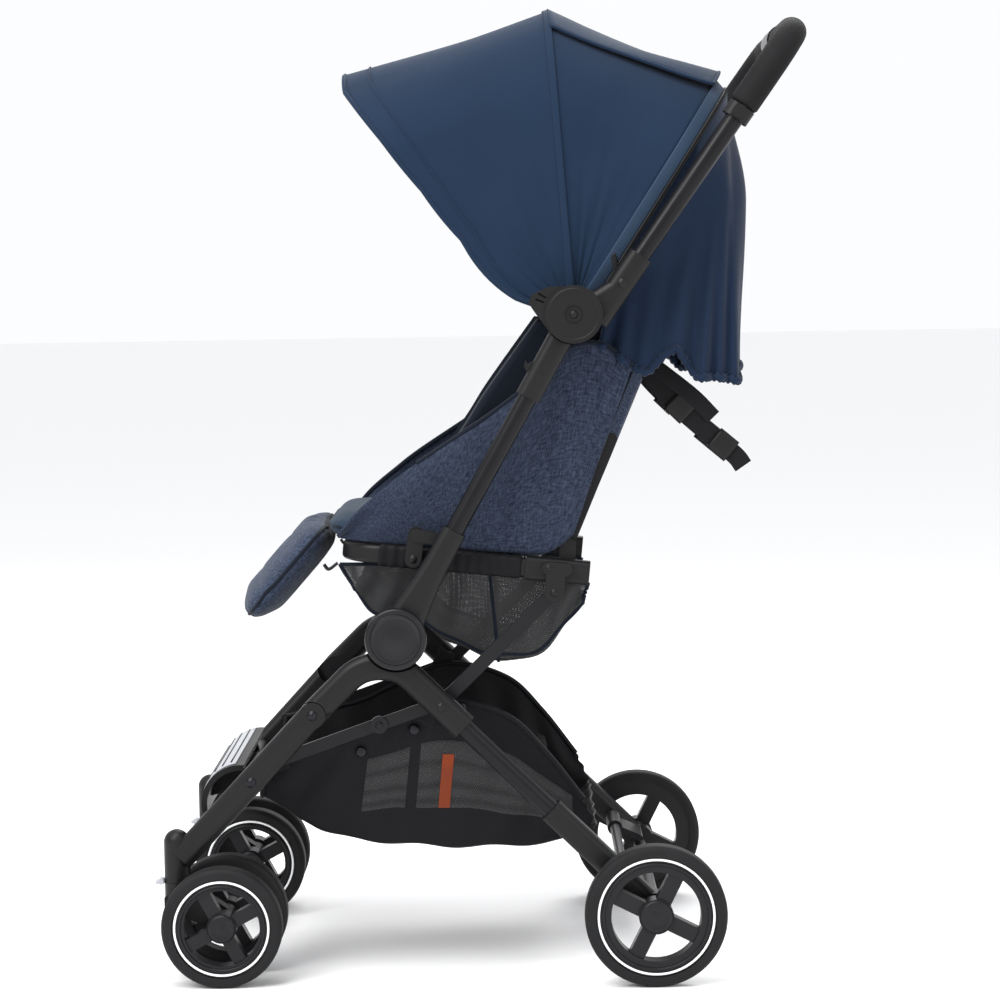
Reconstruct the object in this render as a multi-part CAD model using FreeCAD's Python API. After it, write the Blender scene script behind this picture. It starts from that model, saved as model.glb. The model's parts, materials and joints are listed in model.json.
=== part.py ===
"""Compact folding baby stroller.

Frame: +Z up, the stroller faces -Y, its left side is +X. The origin is at the middle of its box, on the floor.
Side points are (y, z) pairs in a working frame; every solid is moved by one shift along Y when it is exported.
Everything beside the middle plane is made on the left and mirrored.
"""
import FreeCAD, Part
import math
import os

V = FreeCAD.Vector

# ---- driving dimensions: millimetres and degrees ----
REAR_WHEEL_R = 73.0
REAR_TYRE_W = 26.0
FRONT_WHEEL_R = 62.5
FRONT_TYRE_W = 26.0
REAR_AXLE_Y = 171.5
CASTER_Y = -324.0
CASTER_TRAIL = 49.0
CASTER_X = 177.0
CASTER_GAP = 48.0            # between the two wheels of a caster

HUB = (-90.7, 358.1)         # main pivot
MAIN_ANGLE = 60.4            # lower push tube, above the level
MAIN_LENGTH = 378.6          # main pivot to handle pivot
HANDLE_ANGLE = 54.8
HANDLE_OFFSET = 23.0         # upper push tube, behind the handle pivot
HANDLE_REACH = 367.0         # handle pivot to the cross grip, along the tube
HANDLE_BEND = 62.0

FRAME_X = 197.0              # middle plane of each side frame
FRAME_DEPTH = 26.0           # moulded parts, across
TUBE_DEPTH = 24.0            # oval tubes, across
TUBE_HEIGHT = 19.5
TUBE_WALL = 1.6
SLEEVE_HEIGHT = 26.0
RUN = 0.05                   # radial clearance of a pin in its bore
SLIP = 0.1                   # clearance of a tube in its socket
CLEAR = 0.3                  # between parts that pass each other
LAP = 0.2                    # each side of the middle plane where two moulded parts lap

ARCH_HEIGHT = 28.0
ARCH_DROP = 30.0             # arch middle line, below the main pivot
ARCH_FRONT = 37.3            # front corner of the arch line, ahead of the main pivot
ARCH_REAR = 2.5              # rear corner, behind the main pivot
REAR_ARM = 92.0              # rear corner to the end of the moulded arm
REAR_FOOT = 148.0            # length of the moulded foot, up from the axle
HUB_R = 31.0
LEG_HINGE = (-178.2, 279.5)  # front leg pivot, at the end of the arch
LEG_HEIGHT = 27.0
STRUT_PIVOT_BACK = 60.0      # strut pivot, along the rear arm from its corner

RAIL_FRONT = (-148.0, 445.0)
RAIL_REAR = (107.0, 418.0)
RAIL_X = 158.0
RAIL_WIDTH = 18.0
RAIL_HEIGHT = 20.0
RAIL_BEND = 34.0
SEAT_PIVOT_ALONG = 76.0      # from the front of the rail
STRUT_TOP_ALONG = 224.6
STRUT_TOP_DROP = 22.0        # strut pivot below the rail's middle line
STRUT_W = 14.0
STRUT_T = 4.4
LINK_T = 4.6
BRACE_REACH = 80.0           # brace pivot, down the front leg
BRACE_REAR = 69.7            # rear brace link, pivot to elbow

BACK_HINGE = (88.0, 446.0)
BACK_ANGLE = 67.0
BACK_LENGTH = 350.0
BACK_THICK = 30.0
BACK_HALF = 138.0
LEG_REST_HINGE = (-176.0, 473.0)
LEG_REST_LENGTH = 116.0
LEG_REST_ANGLE = 228.5
LEG_REST_R = 16.5
LEG_REST_HALF = 140.0
SEAT_TOP = 33.0              # cushion top above the rail's middle line

CANOPY_HALF = 182.4
CANOPY_WALL = 2.8
CANOPY_CORNER = 105.0
CANOPY_REAR = (57.0, 285.0)  # angle from the level, reach from the handle pivot
CANOPY_MID = (94.0, 317.0)
CANOPY_FRONT = (132.7, 344.0)
BOW_W = 10.0
BOW_T = 3.6
EYE_R = 14.0
FRONT_BOW_BACK = 4.0         # the front bow stands this many degrees behind the front edge

GRIP_R = 15.5
GRIP_LENGTH = 96.0
HINGE_R = 28.0
COVER_R = 29.7
COVER_T = 10.4


# ---- side points ----
def polar(p, angle, dist):
    a = math.radians(angle)
    return (p[0] + dist * math.cos(a), p[1] + dist * math.sin(a))


def angle_of(p, q):
    return math.degrees(math.atan2(q[1] - p[1], q[0] - p[0]))


def distance(p, q):
    return math.hypot(q[0] - p[0], q[1] - p[1])


def at(p, x):
    return V(x, p[0], p[1])


FRAME_IN = FRAME_X - FRAME_DEPTH / 2
FRAME_OUT = FRAME_X + FRAME_DEPTH / 2
REAR_AXLE = (REAR_AXLE_Y, REAR_WHEEL_R)
FRONT_AXLE = (CASTER_Y + CASTER_TRAIL, FRONT_WHEEL_R)
HINGE = polar(HUB, MAIN_ANGLE, MAIN_LENGTH)
ARCH_A = (HUB[0] - ARCH_FRONT, HUB[1] - ARCH_DROP)
ARCH_B = (HUB[0] + ARCH_REAR, HUB[1] - ARCH_DROP)
REAR_ANGLE = angle_of(ARCH_B, REAR_AXLE)
REAR_LENGTH = distance(ARCH_B, REAR_AXLE)
ARM_END = polar(ARCH_B, REAR_ANGLE, REAR_ARM)
FOOT_TOP = polar(REAR_AXLE, REAR_ANGLE + 180, REAR_FOOT)
STRUT_LOW = polar(ARCH_B, REAR_ANGLE, STRUT_PIVOT_BACK)
BRAKE = polar(REAR_AXLE, REAR_ANGLE + 180, 42.0)
HOUSING_R = 13.5
HOUSING_LOW = FRONT_WHEEL_R + 41.5
HOUSING_TOP = HOUSING_LOW + 41.0
LEG_FOOT = (CASTER_Y + 5.0, HOUSING_LOW + 25.0)
LEG_FOOT_X = CASTER_X + 3.0
LEG_LENGTH = distance(LEG_HINGE, LEG_FOOT)
LEG_ANGLE = angle_of(LEG_HINGE, LEG_FOOT)
BRACE_LOW = polar(LEG_HINGE, LEG_ANGLE, BRACE_REACH)
BRACE_ELBOW = polar(STRUT_LOW, angle_of(STRUT_LOW, BRACE_LOW), BRACE_REAR)
RAIL_ANGLE = angle_of(RAIL_FRONT, RAIL_REAR)
RAIL_LENGTH = distance(RAIL_FRONT, RAIL_REAR)


def on_rail(along, up=0.0):
    return polar(polar(RAIL_FRONT, RAIL_ANGLE, along), RAIL_ANGLE + 90, up)


SEAT_PIVOT = on_rail(SEAT_PIVOT_ALONG)
STRUT_TOP = on_rail(STRUT_TOP_ALONG, -STRUT_TOP_DROP)


def on_main(along, ahead=0.0):
    return polar(polar(HUB, MAIN_ANGLE, along), MAIN_ANGLE + 90, ahead)


def on_handle(along, behind=None):
    behind = HANDLE_OFFSET if behind is None else behind
    return polar(polar(HINGE, HANDLE_ANGLE, along), HANDLE_ANGLE - 90, behind)


def on_leg(along, x_shift=0.0):
    """Point of the leaning front leg's middle line, as a vector."""
    p = polar(LEG_HINGE, LEG_ANGLE, along)
    x = FRAME_X + (LEG_FOOT_X - FRAME_X) * along / LEG_LENGTH
    return at(p, x + x_shift)


GRIP_MIDDLE = on_handle(HANDLE_REACH)
LOCK_REACH = 22.6            # swivel lock tab, ahead of the caster's axis
SHIFT_Y = -((GRIP_MIDDLE[0] + GRIP_R + 1.5) + (CASTER_Y - LOCK_REACH)) / 2

STRUT_OUT = FRAME_IN - 10.6          # outer face of the seat struts
STRUT_IN = STRUT_OUT - STRUT_T
LINK_OUT = STRUT_IN - 0.8            # outer face of the rear brace links
LINK_IN = LINK_OUT - LINK_T
BRACE_OUT = LINK_IN - 0.4            # outer face of the front brace links
BRACE_IN = BRACE_OUT - LINK_T
BASKET_HALF = BRACE_IN - 0.8
RAIL_OUT = RAIL_X + RAIL_WIDTH / 2
RAIL_IN = RAIL_X - RAIL_WIDTH / 2


# ---- shape helpers ----
def rod(p, x0, x1, r):
    """Cylinder across the stroller, at a side point."""
    return Part.makeCylinder(r, x1 - x0, at(p, x0), V(1, 0, 0))


def upright(x, y, z0, z1, r):
    return Part.makeCylinder(r, z1 - z0, V(x, y, z0), V(0, 0, 1))


def plate(points, x0, x1):
    """Prism of a side outline."""
    wire = Part.makePolygon([at(p, x0) for p in points] + [at(points[0], x0)])
    return Part.Face(wire).extrude(V(x1 - x0, 0, 0))


def link(p, q, width, x0, x1):
    """Flat bar with round ends about two side points."""
    a = angle_of(p, q)
    r = width / 2
    p1, p2 = polar(p, a + 90, r), polar(p, a - 90, r)
    q1, q2 = polar(q, a + 90, r), polar(q, a - 90, r)
    edges = [
        Part.LineSegment(at(p1, x0), at(q1, x0)).toShape(),
        Part.Arc(at(q1, x0), at(polar(q, a, r), x0), at(q2, x0)).toShape(),
        Part.LineSegment(at(q2, x0), at(p2, x0)).toShape(),
        Part.Arc(at(p2, x0), at(polar(p, a + 180, r), x0), at(p1, x0)).toShape(),
    ]
    return Part.Face(Part.Wire(edges)).extrude(V(x1 - x0, 0, 0))


def rounded_rectangle(width, height, corner):
    """Closed wire in the XY plane, middle at the origin."""
    w, h, c = width / 2, height / 2, min(corner, width / 2 - 0.01, height / 2 - 0.01)
    k = c * (1 - math.sqrt(0.5))
    corners = [(w, h), (-w, h), (-w, -h), (w, -h)]
    starts = [(w, h - c), (-w + c, h), (-w, -h + c), (w - c, -h)]
    ends = [(w - c, h), (-w, h - c), (-w + c, -h), (w, -h + c)]
    edges = []
    for i in range(4):
        sx, sy = math.copysign(1, corners[i][0]), math.copysign(1, corners[i][1])
        middle = V(corners[i][0] - sx * k, corners[i][1] - sy * k, 0)
        edges.append(Part.Arc(V(*starts[i], 0), middle, V(*ends[i], 0)).toShape())
        after = starts[(i + 1) % 4]
        edges.append(Part.LineSegment(V(*ends[i], 0), V(*after, 0)).toShape())
    return Part.Wire(edges)


def section(origin, direction, side, width, height, corner):
    """Rounded rectangle across a direction; its width lies along side."""
    d = V(direction).normalize()
    s = V(side).normalize()
    u = d.cross(s)
    wire = rounded_rectangle(width, height, corner)
    m = FreeCAD.Matrix(s.x, u.x, d.x, origin.x, s.y, u.y, d.y, origin.y, s.z, u.z, d.z, origin.z, 0, 0, 0, 1)
    wire.Placement = FreeCAD.Placement(m)
    return wire


def bar(a, b, width, height, corner, wall=0.0):
    """Straight bar between two points; its width lies across the stroller."""
    d = b - a
    outer = Part.Face(section(a, d, V(1, 0, 0), width, height, corner)).extrude(d)
    if wall <= 0:
        return outer
    inner = section(a, d, V(1, 0, 0), width - 2 * wall, height - 2 * wall, corner - wall)
    return outer.cut(Part.Face(inner).extrude(d))


def bent_path(points, bend):
    """Straight runs joined by tangent arcs of one radius."""
    edges = []
    start = points[0]
    for i in range(1, len(points) - 1):
        before = (points[i - 1] - points[i]).normalize()
        after = (points[i + 1] - points[i]).normalize()
        half = before.getAngle(after) / 2
        reach = bend / math.tan(half)
        middle_way = (before + after).normalize()
        first, last = points[i] + before * reach, points[i] + after * reach
        middle = points[i] + middle_way * (bend / math.sin(half) - bend)
        edges.append(Part.LineSegment(start, first).toShape())
        edges.append(Part.Arc(first, middle, last).toShape())
        start = last
    edges.append(Part.LineSegment(start, points[-1]).toShape())
    return Part.Wire(edges)


def sweep(points, bend, side, width, height, corner, wall=0.0):
    path = bent_path(points, bend)
    first = points[1] - points[0]
    solid = path.makePipeShell([section(points[0], first, side, width, height, corner)], True, False)
    if wall > 0:
        inner = section(points[0], first, side, width - 2 * wall, height - 2 * wall, corner - wall)
        solid = solid.cut(path.makePipeShell([inner], True, False))
    return solid


def loft(sections, ruled=False):
    return Part.makeLoft(sections, True, ruled)


def fuse(first, *others):
    for other in others:
        first = first.fuse(other)
    return first.removeSplitter()


def mirrored(shape):
    return shape.mirror(V(0, 0, 0), V(1, 0, 0))


def both(shape):
    return Part.makeCompound([shape, mirrored(shape)])


def dome_head(p, x, r, rise):
    """Domed rivet head standing on an outer face."""
    ball = (r * r + rise * rise) / (2 * rise)
    cap = Part.makeSphere(ball, at(p, x + rise - ball))
    return cap.common(rod(p, x, x + rise + 1, r))


# ---- rear chassis ----
def hub_arch():
    """Moulded arch: front arm, hub boss and rear arm, with the strut and brace pin."""
    points = [at(LEG_HINGE, FRAME_X), at(ARCH_A, FRAME_X), at(ARCH_B, FRAME_X), at(ARM_END, FRAME_X)]
    solid = sweep(points, 44.0, V(1, 0, 0), FRAME_DEPTH, ARCH_HEIGHT, 9.0)
    middle = FRAME_X - LAP
    solid = fuse(solid, rod(HUB, FRAME_IN, middle, HUB_R - 1), rod(LEG_HINGE, FRAME_IN, middle, LEG_HEIGHT / 2))
    solid = solid.cut(rod(HUB, middle, FRAME_OUT + 1, HUB_R + 4))
    solid = solid.cut(rod(LEG_HINGE, middle, FRAME_OUT + 1, LEG_HEIGHT / 2 + 0.8))
    swing = [LEG_HINGE] + [polar(LEG_HINGE, a, LEG_HEIGHT * 0.76) for a in (-100, -78, -56, -34, -12, 10)]
    solid = solid.cut(plate(swing, middle, FRAME_OUT + 1))
    solid = solid.cut(rod(LEG_HINGE, FRAME_IN - 1, FRAME_OUT + 1, PIN_R + RUN))
    solid = solid.cut(rod(HUB, FRAME_IN - 1, FRAME_OUT + 1, HUB_PIN_R + RUN))
    socket = bar(at(polar(ARM_END, REAR_ANGLE, -SOCKET), FRAME_X), at(polar(ARM_END, REAR_ANGLE, 2), FRAME_X),
                 TUBE_DEPTH + 2 * SLIP - 3, TUBE_HEIGHT + 2 * SLIP, OVAL)
    solid = solid.cut(socket)
    boss = rod(STRUT_LOW, STRUT_OUT + CLEAR, FRAME_IN + 1, 8.0)
    pin = rod(STRUT_LOW, LINK_IN + 0.2, FRAME_IN + 1, PIN_R)
    head = dome_head(STRUT_LOW, FRAME_OUT - 0.2, 5.0, 2.4)
    return fuse(solid, boss, pin, head)


PIN_R = 4.0
HUB_PIN_R = 6.0
SOCKET = 24.0                # depth of a tube socket
OVAL = 9.0                   # corner radius of the oval tubes
REAR_TUBE_DEPTH = TUBE_DEPTH - 3


def rear_leg_tube():
    start = polar(ARM_END, REAR_ANGLE, 1 - SOCKET)
    end = polar(FOOT_TOP, REAR_ANGLE, SOCKET - 1)
    return bar(at(start, FRAME_X), at(end, FRAME_X), REAR_TUBE_DEPTH, TUBE_HEIGHT, OVAL, TUBE_WALL)


def rear_foot():
    solid = bar(at(FOOT_TOP, FRAME_X), at(REAR_AXLE, FRAME_X), FRAME_DEPTH, SLEEVE_HEIGHT, 9.0)
    solid = fuse(solid, rod(REAR_AXLE, FRAME_IN, FRAME_OUT, 17.0))
    socket = bar(at(polar(FOOT_TOP, REAR_ANGLE, -2), FRAME_X), at(polar(FOOT_TOP, REAR_ANGLE, SOCKET), FRAME_X),
                 REAR_TUBE_DEPTH + 2 * SLIP, TUBE_HEIGHT + 2 * SLIP, OVAL)
    solid = solid.cut(socket).cut(rod(REAR_AXLE, FRAME_IN - 1, FRAME_OUT + 1, AXLE_R + RUN))
    return solid.cut(rod(BRAKE, FRAME_IN - 1, FRAME_IN + 8, PIN_R + RUN))


AXLE_R = 5.0
WHEEL_GAP = 14.0             # foot to rear wheel
REAR_WHEEL_IN = FRAME_OUT + WHEEL_GAP


def rear_axle():
    end = REAR_WHEEL_IN + REAR_TYRE_W - 5
    solid = rod(REAR_AXLE, -end, end, AXLE_R)
    solid = fuse(solid, rod(REAR_AXLE, 0.1 - FRAME_IN, FRAME_IN - 0.1, 7.0))
    for x0, x1 in ((FRAME_OUT + 0.1, REAR_WHEEL_IN - CLEAR), (-REAR_WHEEL_IN + CLEAR, -FRAME_OUT - 0.1)):
        solid = fuse(solid, rod(REAR_AXLE, x0, x1, 9.0))
    return solid


def hub_cap():
    """Round cap over the main pivot, with a shallow dish, and the pivot pin."""
    face = FRAME_OUT + CLEAR
    cap = rod(HUB, face, face + 11.5, HUB_R + 0.7)
    cap = cap.makeFillet(2.5, [e for e in cap.Edges if abs(e.BoundBox.XMin - (face + 11.5)) < 0.01 and e.Closed])
    dish = rod(HUB, face + 10.6, face + 12, HUB_R - 4.5)
    return fuse(cap.cut(dish), rod(HUB, FRAME_IN + 0.5, face + 1, HUB_PIN_R))


def hub_cross_tube():
    end = FRAME_IN - 0.1
    return rod(HUB, -end, end, 9.5).cut(rod(HUB, -end - 1, end + 1, 8.0))


def brake_pedal():
    """Cross bar turning in the feet, with one foot plate beside the right wheel."""
    end = FRAME_IN - CLEAR
    solid = fuse(rod(BRAKE, -end, end, 5.5), rod(BRAKE, -end - 7, end + 7, PIN_R))
    tip = polar(BRAKE, -24, 31.0)
    plate_top = link(BRAKE, tip, 7.0, -166.0, -104.0)
    collar = rod(BRAKE, -168.0, -102.0, 8.5)
    return fuse(solid, plate_top, collar)


def wheel(axle, x0, width, radius, spokes, first):
    """Spoked rim: outer ring, hub and spokes; the tyre is separate."""
    rim_r = radius - TYRE_T
    inner_r = radius * RIM_SHARE
    hub_r = radius * 0.245
    ring = rod(axle, x0 + 2.5, x0 + width - 2.5, rim_r).cut(rod(axle, x0, x0 + width, inner_r))
    hub = rod(axle, x0 + 1.5, x0 + width - 1.5, hub_r)
    solid = fuse(ring, hub)
    for i in range(spokes):
        angle = first + 360.0 * i / spokes
        a, b = polar(axle, angle, hub_r - 4), polar(axle, angle, inner_r + 2)
        solid = fuse(solid, link(a, b, radius * 0.22, x0 + 5, x0 + width - 5).common(
            rod(axle, x0, x0 + width, inner_r + 1)))
    return solid.cut(rod(axle, x0 - 1, x0 + width - 4, AXLE_R + RUN))


TYRE_T = 11.0
RIM_SHARE = 0.63


def tyre(axle, x0, width, radius):
    solid = rod(axle, x0, x0 + width, radius)
    rims = [e for e in solid.Edges if e.Closed and e.Length > 6 * radius and e.BoundBox.XLength < 0.01]
    solid = solid.makeFillet(6.0, rims)
    return solid.cut(rod(axle, x0 - 1, x0 + width + 1, radius - TYRE_T + 0.02))


# ---- front legs and casters ----
def front_leg():
    """Leaning moulded leg with the caster housing at its foot and the brace pin inside."""
    solid = bar(on_leg(0), on_leg(LEG_LENGTH), FRAME_DEPTH, LEG_HEIGHT, 9.0)
    middle = FRAME_X + LAP
    solid = fuse(solid, rod(LEG_HINGE, middle, FRAME_OUT, LEG_HEIGHT / 2))
    solid = solid.cut(rod(LEG_HINGE, FRAME_IN - 2, middle, LEG_HEIGHT * 0.72))
    housing = upright(CASTER_X, CASTER_Y, HOUSING_LOW, HOUSING_TOP, HOUSING_R)
    dome = Part.makeSphere(HOUSING_R, V(CASTER_X, CASTER_Y, HOUSING_TOP))
    solid = fuse(solid, housing, dome)
    low = Part.makeBox(80, 80, 40, V(CASTER_X - 40, CASTER_Y - 40, HOUSING_LOW - 40))
    solid = solid.cut(low).cut(upright(CASTER_X, CASTER_Y, HOUSING_LOW - 1, HOUSING_TOP - 5, STEM_R + RUN))
    solid = solid.cut(rod(LEG_HINGE, FRAME_IN - 2, FRAME_OUT + 2, PIN_R + RUN))
    solid = solid.cut(rod(CROSS_BAR, 0, CROSS_END + SLIP, CROSS_R + SLIP))
    solid = solid.cut(rod(SECOND_RIVET, RIVET_X - 9, FRAME_OUT + 5, PIN_R + RUN))
    return fuse(solid, rod(BRACE_LOW, BRACE_IN + 0.2, FRAME_IN + 2, PIN_R))


STEM_R = 6.0
CROSS_R = 9.0
CROSS_ALONG = 122.0
CROSS_BAR = polar(LEG_HINGE, LEG_ANGLE, CROSS_ALONG)
CROSS_END = on_leg(CROSS_ALONG).x - FRAME_DEPTH / 2 + 4
SECOND_RIVET = polar(LEG_HINGE, LEG_ANGLE, 95.0)
RIVET_X = on_leg(95.0).x + FRAME_DEPTH / 2


def front_cross_bar():
    return rod(CROSS_BAR, -CROSS_END, CROSS_END, CROSS_R).cut(rod(CROSS_BAR, -CROSS_END - 1, CROSS_END + 1, CROSS_R - 1.6))


def front_leg_pins():
    pivot = fuse(rod(LEG_HINGE, FRAME_IN + 1, FRAME_OUT + 0.3, PIN_R), dome_head(LEG_HINGE, FRAME_OUT + 0.1, 5.2, 2.6))
    second = fuse(rod(SECOND_RIVET, RIVET_X - 8, RIVET_X + 1.2, PIN_R), dome_head(SECOND_RIVET, RIVET_X + 1.0, 5.2, 2.6))
    return Part.makeCompound([pivot, second, mirrored(pivot), mirrored(second)])


STEP_R = 41.0
STEP_T = 6.0
STEP_HALF = 138.0


def step_plate():
    """Curved tread plate over the cross bar, on two ribs."""
    middle = (CROSS_BAR[0] + 1.0, CROSS_BAR[1] - 13.0)
    outer = rod(middle, -STEP_HALF, STEP_HALF, STEP_R).cut(rod(middle, -STEP_HALF - 1, STEP_HALF + 1, STEP_R - STEP_T))
    sector = [middle] + [polar(middle, a, STEP_R * 1.5) for a in (84, 110, 140, 165, 192)]
    shell = outer.common(plate(sector, -STEP_HALF - 2, STEP_HALF + 2))
    rib_outline = [polar(CROSS_BAR, a, CROSS_R * 0.9) for a in (60, 210)]
    rib_outline += [polar(middle, a, STEP_R - STEP_T / 2) for a in (180, 150, 120, 92)]
    for x in (-90.0, 84.0):
        shell = fuse(shell, plate(rib_outline, x, x + 6).cut(rod(CROSS_BAR, x - 1, x + 7, CROSS_R + SLIP)))
    return shell


def caster_fork(sign):
    """Stem, head and fork plate between the two wheels, with the wheel axle."""
    x = CASTER_X
    half = CASTER_GAP / 2 - 5
    top = HOUSING_LOW - CLEAR
    solid = upright(x, CASTER_Y, top - 16, top, HOUSING_R)
    arm = [(CASTER_Y - HOUSING_R, top - 16), (CASTER_Y - HOUSING_R, top - 26), (FRONT_AXLE[0] - 12, FRONT_AXLE[1] - 10),
           (FRONT_AXLE[0] + 10, FRONT_AXLE[1] + 8), (CASTER_Y + HOUSING_R + 8, top - 6), (CASTER_Y + 4, top)]
    arm = [arm[0], arm[1], arm[2], arm[3], arm[4], arm[5], (CASTER_Y - 6, top - 8)]
    body = plate(arm, x - 9, x + 9)
    hub = rod(FRONT_AXLE, x - half, x + half, 13.0)
    stem = upright(x, CASTER_Y, top - 4, HOUSING_TOP - 7, STEM_R)
    axle = rod(FRONT_AXLE, x - CASTER_GAP / 2 - FRONT_TYRE_W + 5, x + CASTER_GAP / 2 + FRONT_TYRE_W - 5, AXLE_R)
    solid = fuse(solid, body, hub, stem, axle)
    return solid if sign > 0 else mirrored(solid)


def swivel_lock(sign):
    """Small lever on the front of the caster housing."""
    z = HOUSING_LOW
    y = CASTER_Y - HOUSING_R - CLEAR
    lever = Part.makeBox(12, LOCK_REACH - HOUSING_R - CLEAR, 3, V(CASTER_X - 6, CASTER_Y - LOCK_REACH, z - 2))
    pivot = Part.makeCylinder(3.2, 14, V(CASTER_X - 7, y - 3.4, z + 0.5), V(1, 0, 0))
    solid = fuse(lever, pivot)
    return solid if sign > 0 else mirrored(solid)


# ---- lower push frame ----
def hub_sleeve():
    """Moulded sleeve from the main pivot up to the tube, with the seat bracket inside."""
    middle = FRAME_X + LAP
    way = at(on_main(10), 0) - at(on_main(0), 0)
    sizes = ((12, 37.0), (40, 34.0), (62, 29.5), (92, 26.0), (SLEEVE_END, 25.0))
    neck = loft([section(at(on_main(s), FRAME_X), way, V(1, 0, 0), FRAME_DEPTH, h, 9.0) for s, h in sizes])
    solid = neck.cut(rod(HUB, FRAME_IN - 1, middle, HUB_R + 5))
    solid = fuse(solid, rod(HUB, middle, FRAME_OUT, HUB_R))
    socket = bar(at(on_main(SLEEVE_END - SOCKET), FRAME_X), at(on_main(SLEEVE_END + 2), FRAME_X),
                 MAIN_DEPTH + 2 * SLIP, TUBE_HEIGHT + 2 * SLIP, OVAL)
    solid = solid.cut(socket).cut(rod(HUB, FRAME_IN - 1, FRAME_OUT + 1, HUB_PIN_R + RUN))
    x0, x1 = FRAME_IN - 5.8, FRAME_IN - 0.1
    ear = fuse(link(SEAT_PIVOT, EAR_TOP, 17.0, x0, x1), link(EAR_TOP, on_main(SLEEVE_END - 14), 13.0, x0, x1 + 3))
    spacer = fuse(rod(SEAT_PIVOT, RAIL_OUT + CLEAR, x0 + 1, 6.0), rod(SEAT_PIVOT, RAIL_OUT - 12, x0 + 1, 3.0))
    heads = [dome_head(SEAT_PIVOT, x1 - 0.1, 4.5, 2.2), dome_head(EAR_TOP, x1 - 0.1, 4.5, 2.2)]
    return fuse(solid, ear, spacer, *heads).cut(socket)


SLEEVE_END = 125.5
MAIN_DEPTH = TUBE_DEPTH - 3
EAR_TOP = (SEAT_PIVOT[0] + 3.4, SEAT_PIVOT[1] + 25.3)
HINGE_SLEEVE = 97.0


def main_tube():
    a, b = on_main(SLEEVE_END + 1 - SOCKET), on_main(MAIN_LENGTH - HINGE_SLEEVE + SOCKET - 1)
    return bar(at(a, FRAME_X), at(b, FRAME_X), MAIN_DEPTH, TUBE_HEIGHT, OVAL, TUBE_WALL)


def hinge_sleeve():
    """Lower half of the handle hinge, with the hook that holds the folded handle."""
    start = on_main(MAIN_LENGTH - HINGE_SLEEVE)
    solid = bar(at(start, FRAME_X), at(HINGE, FRAME_X), FRAME_DEPTH, SLEEVE_HEIGHT, 9.0)
    middle = FRAME_X - LAP
    solid = solid.cut(rod(HINGE, middle, FRAME_OUT + 1, HINGE_R + 3))
    solid = fuse(solid, rod(HINGE, FRAME_IN, middle, HINGE_R))
    socket = bar(at(on_main(MAIN_LENGTH - HINGE_SLEEVE - 2), FRAME_X),
                 at(on_main(MAIN_LENGTH - HINGE_SLEEVE + SOCKET), FRAME_X),
                 MAIN_DEPTH + 2 * SLIP, TUBE_HEIGHT + 2 * SLIP, OVAL)
    base = MAIN_LENGTH - 75
    hook = plate([on_main(base, 12), on_main(base + 4, 18.5), on_main(base + 10, 20), on_main(base + 8, 16.5),
                  on_main(base + 16, 12)], FRAME_X - 6, FRAME_X + 6)
    return fuse(solid.cut(socket), hook).cut(rod(HINGE, FRAME_IN - 1, FRAME_OUT + 1, AXLE_R + RUN))


# ---- handle ----
UPPER_SLEEVE = 88.0
GRIP_START = HANDLE_REACH - GRIP_LENGTH
HOUSING_HALF = 38.0


def upper_sleeve():
    """Upper half of the handle hinge, its sleeve set behind the pivot."""
    middle = FRAME_X + LAP
    solid = bar(at(on_handle(8), FRAME_X), at(on_handle(UPPER_SLEEVE), FRAME_X), FRAME_DEPTH, SLEEVE_HEIGHT, 9.0)
    bridge = bar(at(HINGE, FRAME_X), at(on_handle(52), FRAME_X), FRAME_DEPTH, 20.0, 9.0)
    solid = fuse(solid, bridge).cut(rod(HINGE, FRAME_IN - 1, middle, HINGE_R + 3))
    solid = fuse(solid, rod(HINGE, middle, FRAME_OUT, HINGE_R))
    socket = bar(at(on_handle(UPPER_SLEEVE - SOCKET), FRAME_X), at(on_handle(UPPER_SLEEVE + 2), FRAME_X),
                 MAIN_DEPTH + 2 * SLIP, TUBE_HEIGHT + 2 * SLIP, OVAL)
    solid = solid.cut(socket).cut(rod(HINGE, FRAME_IN - 1, FRAME_OUT + 1, AXLE_R + RUN))
    return fuse(solid, dome_head(on_handle(54), FRAME_OUT - 0.2, 5.0, 2.4))


def handle_points(start):
    """Line of the U-shaped handle tube from one side to the other."""
    low, top = on_handle(start), on_handle(HANDLE_REACH)
    return [at(low, FRAME_X), at(top, FRAME_X), at(top, -FRAME_X), at(low, -FRAME_X)]


def handle_tube():
    return sweep(handle_points(UPPER_SLEEVE + 1 - SOCKET), HANDLE_BEND, V(1, 0, 0), MAIN_DEPTH, TUBE_HEIGHT, OVAL,
                 TUBE_WALL)


def foam_grip():
    """Foam over the cross bar and the tops of both side tubes, open in the middle for the latch."""
    outer = sweep(handle_points(GRIP_START), HANDLE_BEND, V(1, 0, 0), 2 * GRIP_R, 2 * GRIP_R, GRIP_R)
    inner = sweep(handle_points(GRIP_START - 5), HANDLE_BEND, V(1, 0, 0), MAIN_DEPTH + 2 * SLIP,
                  TUBE_HEIGHT + 2 * SLIP, OVAL + SLIP)
    half = HOUSING_HALF + CLEAR
    return outer.cut(inner).cut(Part.makeBox(2 * half, 900, 900, V(-half, 0, 600)))


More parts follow.
